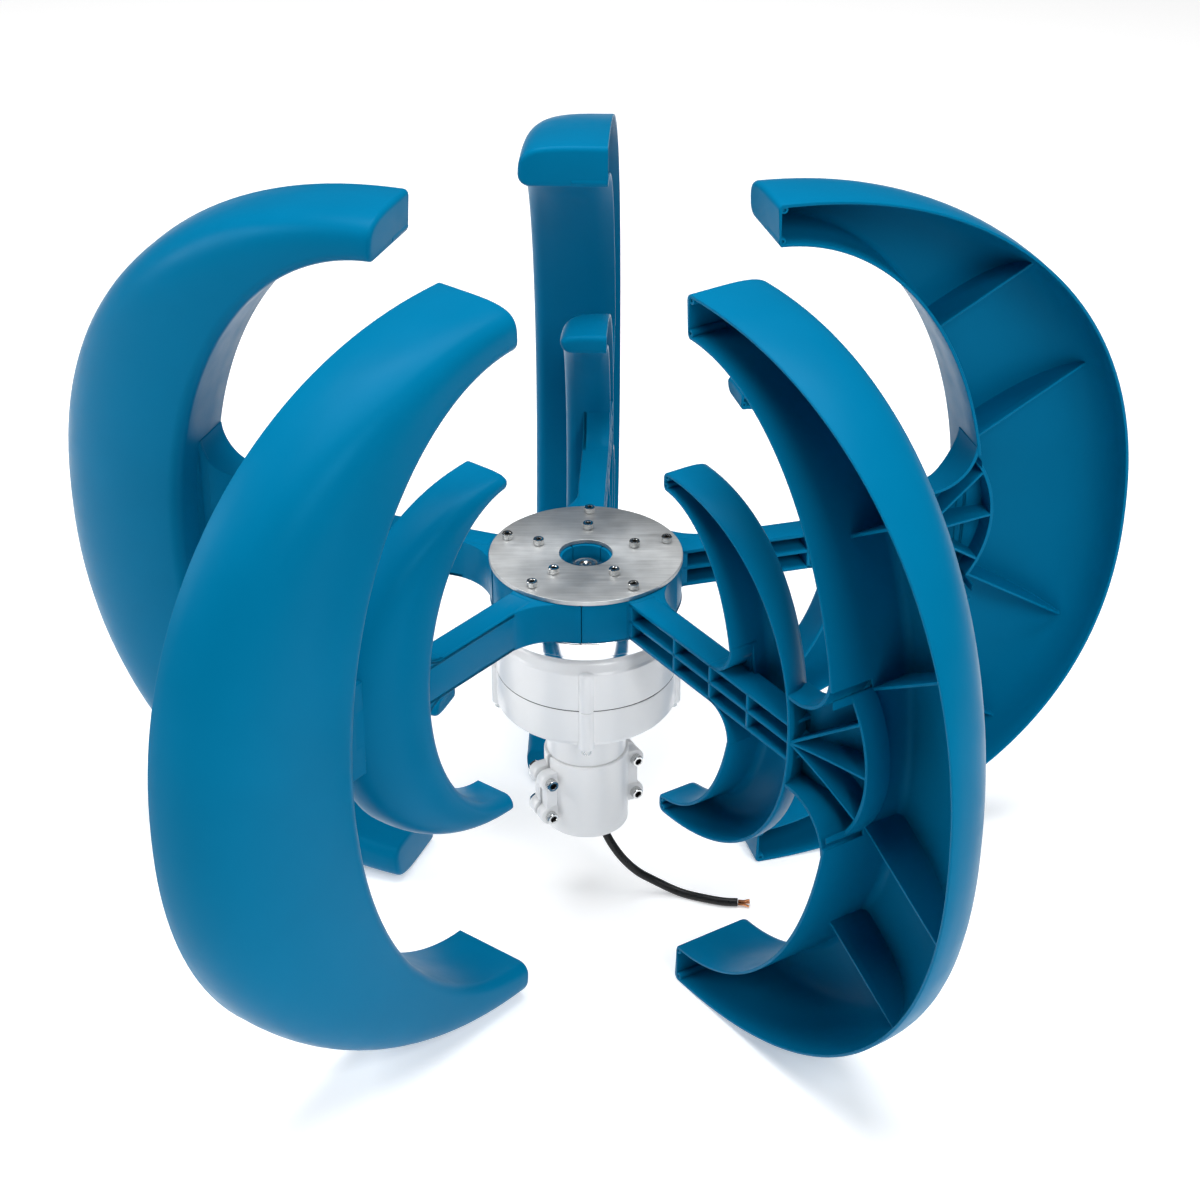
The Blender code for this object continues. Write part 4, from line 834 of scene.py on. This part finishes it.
def socket_screw(radius, head_radius, head_height, length):
    """A cap screw: knurled head, hexagon socket, shank. The head seats on z = 0."""
    turns = spread(48)
    key = radius * 1.65
    chamfer = head_radius * 0.09
    levels = [
        (radius * 0.7, -length), (radius, -length + radius * 0.3), (radius, 0.0),
        (head_radius - chamfer / 2, 0.0), (head_radius, chamfer / 2),
        (head_radius, head_height - chamfer), (head_radius - chamfer, head_height),
        (key * 0.62, head_height)]
    rows = [[polar(r, a, z) for a in turns] for r, z in levels]
    for depth in (0.12, 0.55):
        rows.append([polar(hexagon(key, a), a, head_height * (1 - depth)) for a in turns])
    rows.append([polar(key * 0.12, a, head_height * 0.38) for a in turns])
    mesh = joined("socket_screw", [skin(rows)], 40)
    mesh.materials.append(STEEL)
    mesh.materials.append(KNURL)
    mesh.materials.append(SOCKET_PAINTED_SHADE)
    for face in mesh.polygons:
        upright = abs(face.normal.z) < 0.2
        reach = math.hypot(face.center.x, face.center.y)
        if upright and reach > head_radius * 0.97:
            face.material_index = 1
        # Faces deep inside the hexagon socket take the painted shade material
        elif reach < key * 0.6 and 0 < face.center.z < head_height * 0.9:
            face.material_index = 2
    return mesh


def hex_nut(across_flats, bore, height):
    """A chamfered nut standing on z = 0."""
    turns = spread(72)
    flat = across_flats / 2 * 0.97
    slope = math.tan(math.radians(28))
    rows = []
    for level, sign in ((0.0, 1), (height, -1)):
        face = [polar(flat, a, level) for a in turns]
        side = []
        for a in turns:
            reach = hexagon(across_flats, a)
            side.append(polar(reach, a, level + sign * (reach - flat) * slope))
        rows += [face, side] if sign > 0 else [side, face]
    rows.append([polar(bore * 1.12, a, height) for a in turns])
    rows.append([polar(bore, a, height - bore * 0.12) for a in turns])
    rows.append([polar(bore, a, bore * 0.12) for a in turns])
    rows.append([polar(bore * 1.12, a, 0.0) for a in turns])
    return joined("hex_nut", [skin(rows, wrap=True)], 30)


# Hub

def build_hub():
    disc = lathe([
        (PLATE_HOLE, PLATE_TOP, 0.0004), (PLATE_RADIUS, PLATE_TOP, 0.0005),
        (PLATE_RADIUS, PLATE_BOTTOM, 0.0005), (PLATE_HOLE, PLATE_BOTTOM, 0.0004)], 144)
    place("top_disc", joined("top_disc", [disc]), [PLATE], "rotor", "top_plate")

    groove = FLANGE_BOTTOM + 0.0038
    waist = FLANGE_RADIUS - 0.0016
    ring = lathe([
        (SHAFT_BORE, HUB_BOSS_TOP, 0.0006), (HUB_BOSS, HUB_BOSS_TOP, 0.0008), (HUB_BOSS, FLANGE_TOP, 0.0010),
        (FLANGE_RADIUS, FLANGE_TOP, 0.0012), (FLANGE_RADIUS, groove, 0.0006),
        (waist, groove - 0.0006, 0.0003), (waist, FLANGE_BOTTOM, 0.0008),
        (SHAFT_BORE, FLANGE_BOTTOM, 0.0005)], 144)
    place("hub_ring", joined("hub_ring", [ring]), [ALUMINIUM], "rotor", "hub_flange")

    screw = socket_screw(radius=0.0025, head_radius=0.00445, head_height=0.0050, length=0.0516)
    number = 1
    for angle in spread(BLADES, FIRST_BLADE):
        for reach in BOLT_CIRCLES:
            spot = Matrix.Rotation(angle, 4, "Z") @ Matrix.Translation((reach, 0, PLATE_TOP + FIT))
            spot = spot @ Matrix.Rotation(number * 0.9, 4, "Z")
            place(f"blade_screw_{number}", screw, [], "rotor", f"blade_bolt_{number}", spot)
            number += 1

    low = HUB_BOSS_TOP + FIT
    high = low + WASHER_THICK
    washer = lathe([
        (SHAFT_BORE, low, 0.0003), (WASHER_RADIUS, low, 0.0004),
        (WASHER_RADIUS, high, 0.0006), (SHAFT_BORE, high, 0.0003)], 72)
    place("axle_washer", joined("axle_washer", [washer]), [TURNED], "rotor", "shaft_washer")
    nut = hex_nut(across_flats=0.0300, bore=SHAFT_BORE, height=0.0130)
    place("axle_nut", nut, [STEEL], "rotor", "shaft_nut", Matrix.Translation((0, 0, NUT_Z)))
    axle = lathe([
        (0.0, SHAFT_TOP - 0.0022, 0.0), (0.0016, SHAFT_TOP - 0.0006, 0.0), (0.0026, SHAFT_TOP, 0.0),
        (SHAFT_END_RADIUS, SHAFT_TOP, 0.0010), (SHAFT_END_RADIUS, SHAFT_STEP, 0.0004),
        (SHAFT_RADIUS, SHAFT_STEP, 0.0004), (SHAFT_RADIUS, CASING_FLOOR, 0.0006),
        (0.0, CASING_FLOOR, 0.0)], 72, 3)
    place("axle", joined("axle", [axle]), [TURNED], "rotor", "rotor_shaft")


# Generator

def boss(low, high, dome):
    """A round boss that stands half out of the casing wall."""
    corners = [(0.0, low, 0.0), (BOSS_RADIUS, low, 0.0006)]
    corners += [(BOSS_RADIUS, high, dome), (0.0, high, 0.0)]
    return lathe(corners, 40, 6)


def bosses(low, high, dome):
    spots = [Matrix.Translation(polar(BOSS_CIRCLE, angle)) for angle in spread(CASING_BOLTS)]
    return [moved(boss(low, high, dome), spot) for spot in spots]


def build_generator():
    low = HOUSING_BOTTOM
    inner = HOUSING_BORE - 0.003
    shell = lathe([
        (HOUSING_BORE, SPLIT_Z, 0.0), (HOUSING_RADIUS, SPLIT_Z, SPLIT_ROUND),
        (HOUSING_RADIUS, low + 0.0088, 0.0008),
        (HOUSING_RADIUS - 0.0024, low + 0.0078, 0.0006), (HOUSING_RADIUS - 0.0030, low + 0.0048, 0.0008),
        (HOUSING_RADIUS - 0.0064, low + 0.0038, 0.0006), (HOUSING_RADIUS - 0.0072, low + 0.0014, 0.0008),
        (HOUSING_RADIUS - 0.0125, low, 0.0020), (NECK_RADIUS + 0.0098, low - 0.0004, 0.0010),
        (NECK_RADIUS + 0.0092, low - 0.0034, 0.0010), (NECK_RADIUS + 0.0044, low - 0.0046, 0.0010),
        (NECK_RADIUS + 0.0038, low - 0.0098, 0.0012), (NECK_RADIUS, low - 0.0112, 0.0014),
        (NECK_RADIUS, NECK_BOTTOM, 0.0010), (SPIGOT_RADIUS, NECK_BOTTOM, 0.0004),
        (SPIGOT_RADIUS, 0.0, 0.0012), (NECK_BORE, 0.0, 0.0010), (NECK_BORE, NECK_CEILING, 0.0),
        (GLAND_HOLE, NECK_CEILING, 0.0), (GLAND_HOLE, CASING_FLOOR, 0.0),
        (BEARING_BORE, CASING_FLOOR, 0.0), (BEARING_BORE, LOWER_BEARING_TOP, 0.0005),
        (BEARING_WALL, LOWER_BEARING_TOP, 0.0005), (BEARING_WALL, CASING_FLOOR, 0.0),
        (inner, CASING_FLOOR, 0.0), (inner, STATOR_BOTTOM, 0.0), (HOUSING_BORE, STATOR_BOTTOM, 0.0)], 160)
    mesh = joined("casing_lower", [shell, *bosses(BOSS_LOW, SPLIT_Z, SPLIT_ROUND)])
    place("casing_lower", mesh, [PAINT], "stator", "lower_housing")

    base = SPLIT_Z + FIT
    shell = lathe([
        (SEAL_RADIUS, HOUSING_TOP, 0.0006), (0.0640, HOUSING_TOP, 0.0040),
        (0.0722, HOUSING_TOP - 0.0072, 0.0060),
        (HOUSING_RADIUS - 0.0014, SHOULDER_Z + 0.0012, 0.0012), (HOUSING_RADIUS, SHOULDER_Z - 0.0010, 0.0016),
        (HOUSING_RADIUS, base, SPLIT_ROUND), (HOUSING_BORE, base, 0.0), (HOUSING_BORE, STATOR_TOP, 0.0),
        (inner, STATOR_TOP, 0.0), (inner, CASING_CEILING, 0.0), (BEARING_WALL, CASING_CEILING, 0.0),
        (BEARING_WALL, UPPER_BEARING_BOTTOM, 0.0005), (BEARING_BORE, UPPER_BEARING_BOTTOM, 0.0005),
        (BEARING_BORE, UPPER_BEARING_TOP, 0.0), (SEAL_HOLE, UPPER_BEARING_TOP, 0.0),
        (SEAL_HOLE, SEAL_BOTTOM, 0.0), (SEAL_RADIUS, SEAL_BOTTOM, 0.0)], 160)
    mesh = joined("casing_upper", [shell, *bosses(base, SHOULDER_Z + 0.0012, 0.0050)])
    place("casing_upper", mesh, [PAINT], "stator", "upper_housing")

    hem = HOUSING_BORE + 0.001
    rim = HOUSING_RADIUS - 0.0002
    seam = lathe([
        (hem, SPLIT_Z + 0.0006, 0.0), (rim, SPLIT_Z + 0.0005, 0.0002),
        (rim, SPLIT_Z - 0.0002, 0.0002), (hem, SPLIT_Z - 0.0003, 0.0)], 160)
    place("casing_gasket", joined("casing_gasket", [seam]), [RUBBER], "stator", None)

    screw = socket_screw(radius=0.0025, head_radius=0.00425, head_height=0.0050, length=0.0640)
    upside_down = Matrix.Rotation(math.pi, 4, "X")
    for k, angle in enumerate(spread(CASING_BOLTS)):
        spot = Matrix.Translation(polar(BOSS_CIRCLE, angle, BOSS_LOW - FIT)) @ upside_down
        place(f"casing_screw_{k + 1}", screw, [], "stator", f"housing_bolt_{k + 1}", spot)


# Pole clamp

def build_clamp():
    """Two half shells with rounded lugs, four screws and four nuts."""
    turn = Matrix.Rotation(CLAMP_AZIMUTH, 4, "Z")
    lying = Matrix.Rotation(-math.pi / 2, 4, "X")
    near = POLE_RADIUS + 0.0025
    far = LUG_REACH + 0.0030
    tall = LUG_SPACING / 2 + 0.002
    tilt = math.asin(CLAMP_GAP / (CLAMP_RADIUS - 0.003))
    for name, side in (("front", 1), ("rear", -1)):
        shell = lathe([
            (POLE_RADIUS, CLAMP_HALF_HEIGHT, 0.0010), (CLAMP_RADIUS, CLAMP_HALF_HEIGHT, 0.0016),
            (CLAMP_RADIUS, -CLAMP_HALF_HEIGHT, 0.0016), (POLE_RADIUS, -CLAMP_HALF_HEIGHT, 0.0010)],
            72, 5, tilt, math.pi - 2 * tilt)
        parts = [shell]
        for end in (-1, 1):
            for height in (-LUG_SPACING / 2, LUG_SPACING / 2):
                lug = [(near, height - LUG_RADIUS)]
                lug += arc((LUG_REACH, height), LUG_RADIUS, -90, 90, 18)
                lug.append((near, height + LUG_RADIUS))
                outline = [(end * x, z) for x, z in lug]
                parts.append(prism(outline, CLAMP_GAP, LUG_DEPTH, 0.0010, upright=True))
            low, high = sorted((end * near, end * far))
            parts.append(block((low, CLAMP_GAP, -tall), (high, LUG_DEPTH - 0.0006, tall), 0.0010))
        mesh = joined(f"clamp_{name}", parts)
        spot = turn if side > 0 else turn @ Matrix.Rotation(math.pi, 4, "Z")
        place(f"clamp_shell_{name}", mesh, [PAINT], "stator", f"clamp_half_{name}", spot)

    screw = socket_screw(radius=0.0030, head_radius=0.0051, head_height=0.0060, length=0.0337)
    nut = hex_nut(across_flats=0.0102, bore=0.0033, height=CLAMP_NUT_HEIGHT)
    number = 1
    for end in (1, -1):
        for height in (-LUG_SPACING / 2, LUG_SPACING / 2):
            aim = turn @ Matrix.Translation((end * LUG_REACH, 0, height)) @ lying
            head = aim @ Matrix.Translation((0, 0, LUG_DEPTH + FIT)) @ Matrix.Rotation(number * 0.7, 4, "Z")
            place(f"clamp_screw_{number}", screw, [], "stator", f"clamp_bolt_{number}", head)
            under = aim @ Matrix.Translation((0, 0, -LUG_DEPTH - FIT - CLAMP_NUT_HEIGHT))
            place(f"clamp_hex_{number}", nut, [STEEL], "stator", f"clamp_nut_{number}", under)
            number += 1


# Cable

def smooth_route(points, step):
    """Even points along a smooth curve through the route's own points."""
    points = [Vector(point) for point in points]
    ends = [2 * points[0] - points[1], *points, 2 * points[-1] - points[-2]]
    fine = []
    for a, b, c, d in zip(ends, ends[1:], ends[2:], ends[3:]):
        for k in range(24):
            t = k / 24
            bend = (2 * a - 5 * b + 4 * c - d) * t ** 2 + (3 * b - a - 3 * c + d) * t ** 3
            fine.append(0.5 * (2 * b + (c - a) * t + bend))
    fine.append(points[-1])
    length = sum((q - p).length for p, q in zip(fine, fine[1:]))
    count = max(2, round(length / step))
    even, travelled, target = [fine[0]], 0.0, length / count
    for p, q in zip(fine, fine[1:]):
        span = (q - p).length
        while span and travelled + span >= target * len(even) and len(even) < count:
            even.append(p.lerp(q, (target * len(even) - travelled) / span))
        travelled += span
    even.append(fine[-1])
    return even, length


def build_cable():
    route, length = smooth_route(CABLE_ROUTE, 0.010)
    curve = bpy.data.curves.new("lead", "CURVE")
    curve.dimensions = "3D"
    curve.bevel_depth = CABLE_RADIUS
    curve.bevel_resolution = 8
    curve.use_fill_caps = True
    curve.resolution_u = 4
    spline = curve.splines.new("BEZIER")
    spline.bezier_points.add(len(route) - 1)
    for knot, point in zip(spline.bezier_points, route):
        knot.co = point
        knot.handle_left_type = knot.handle_right_type = "AUTO"
    curve.materials.append(SHEATH)
    lead = bpy.data.objects.new("lead", curve)
    bpy.context.scene.collection.objects.link(lead)
    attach(lead, "stator")
    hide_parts("power_cable")

    sleeve = lathe([
        (0.0, GLAND_TOP, 0.0), (GLAND_PLUG, GLAND_TOP, 0.0004), (GLAND_PLUG, GLAND_SEAT, 0.0),
        (GLAND_FLANGE, GLAND_SEAT, 0.0006), (GLAND_FLANGE, GLAND_STEP, 0.0012),
        (GLAND_MOUTH, GLAND_BOTTOM, 0.0006), (0.0, GLAND_BOTTOM, 0.0)], 48)
    place("gland", joined("gland", [sleeve]), [RUBBER], "stator", "cable_gland")


# Solids that keep their shape

def dress_solids():
    looks = {
        "hub_key": STEEL, "shaft_seal": RUBBER, "rotor_core": LAMINATED, "stator_core": LAMINATED,
        "stator_winding": COPPER}
    for name, solid in NODES.items():
        material = looks.get(name)
        if "bearing" in name:
            material = TURNED
        elif name.startswith("magnet"):
            material = MAGNET
        elif name.startswith("cable_core"):
            material = STRANDS
        if material:
            solid.data.materials.clear()
            solid.data.materials.append(material)


# Stage, light and camera

WHITE = (1.0, 1.0, 1.0, 1.0)
LIT_SPOT = (0.0, 0.0, 0.2)
CAMERA_SPOT = (0.0, -1.9377, 1.3297)
CAMERA_DOWN = 30.74         # degrees
CAMERA_ROLL = -0.16


def build_stage():
    mesh = bpy.data.meshes.new("floor")
    size = 9.0
    corners = ((-size, -size), (size, -size), (size, size), (-size, size))
    mesh.from_pydata([(x, y, FLOOR_Z) for x, y in corners], [], [(0, 1, 2, 3)])
    floor = bpy.data.objects.new("floor", mesh)
    bpy.context.scene.collection.objects.link(floor)
    look = Look("floor_white", Specular_IOR_Level=0.1, Emission_Color=WHITE, Emission_Strength=0.34)
    look.tint(look.noise(0.7, 2.0), (0.90, 0.90, 0.90), (0.93, 0.93, 0.93))
    look.gloss(look.noise(3.0, 2.0), 0.7, 0.8)
    mesh.materials.append(look.material)

    world = bpy.data.worlds.new("studio")
    bpy.context.scene.world = world
    world.use_nodes = True
    nodes = world.node_tree.nodes
    links = world.node_tree.links
    dome = nodes["Background"]
    dome.inputs["Color"].default_value = WHITE
    dome.inputs["Strength"].default_value = 0.06
    white = nodes.new("ShaderNodeBackground")
    white.inputs["Color"].default_value = WHITE
    white.inputs["Strength"].default_value = 1.0
    rays = nodes.new("ShaderNodeLightPath")
    mix = nodes.new("ShaderNodeMixShader")
    links.new(rays.outputs["Is Camera Ray"], mix.inputs["Fac"])
    links.new(dome.outputs["Background"], mix.inputs[1])
    links.new(white.outputs["Background"], mix.inputs[2])
    links.new(mix.outputs["Shader"], nodes["World Output"].inputs["Surface"])


def softbox(name, spot, size, watts):
    light = bpy.data.lights.new(name, "AREA")
    light.shape = "RECTANGLE"
    light.size = size
    light.size_y = size
    light.energy = watts
    lamp = bpy.data.objects.new(name, light)
    bpy.context.scene.collection.objects.link(lamp)
    lamp.location = spot
    lamp.rotation_euler = (Vector(LIT_SPOT) - Vector(spot)).to_track_quat("-Z", "Y").to_euler()


def build_lights():
    softbox("key", spot=(1.5, -2.5, 2.4), size=1.5, watts=70)
    softbox("top", spot=(0.0, 0.2, 3.2), size=2.6, watts=122)
    softbox("side", spot=(-3.0, 0.0, 1.6), size=1.5, watts=48)


def build_camera():
    view = bpy.data.cameras.new("photo_view")
    view.sensor_width = 36.0
    view.lens = 81.22
    view.shift_x = 0.0117
    view.shift_y = 0.0031
    view.clip_end = 60.0
    camera = bpy.data.objects.new("photo_view", view)
    bpy.context.scene.collection.objects.link(camera)
    tilt = Matrix.Rotation(math.radians(90 - CAMERA_DOWN), 4, "X")
    roll = Matrix.Rotation(math.radians(CAMERA_ROLL), 4, "Z")
    camera.matrix_world = Matrix.Translation(CAMERA_SPOT) @ tilt @ roll
    bpy.context.scene.camera = camera


bpy.context.scene.view_settings.view_transform = "Standard"
build_camera()
build_cable()
build_blades()
build_hub()
build_generator()
build_clamp()
dress_solids()
build_stage()
build_lights()
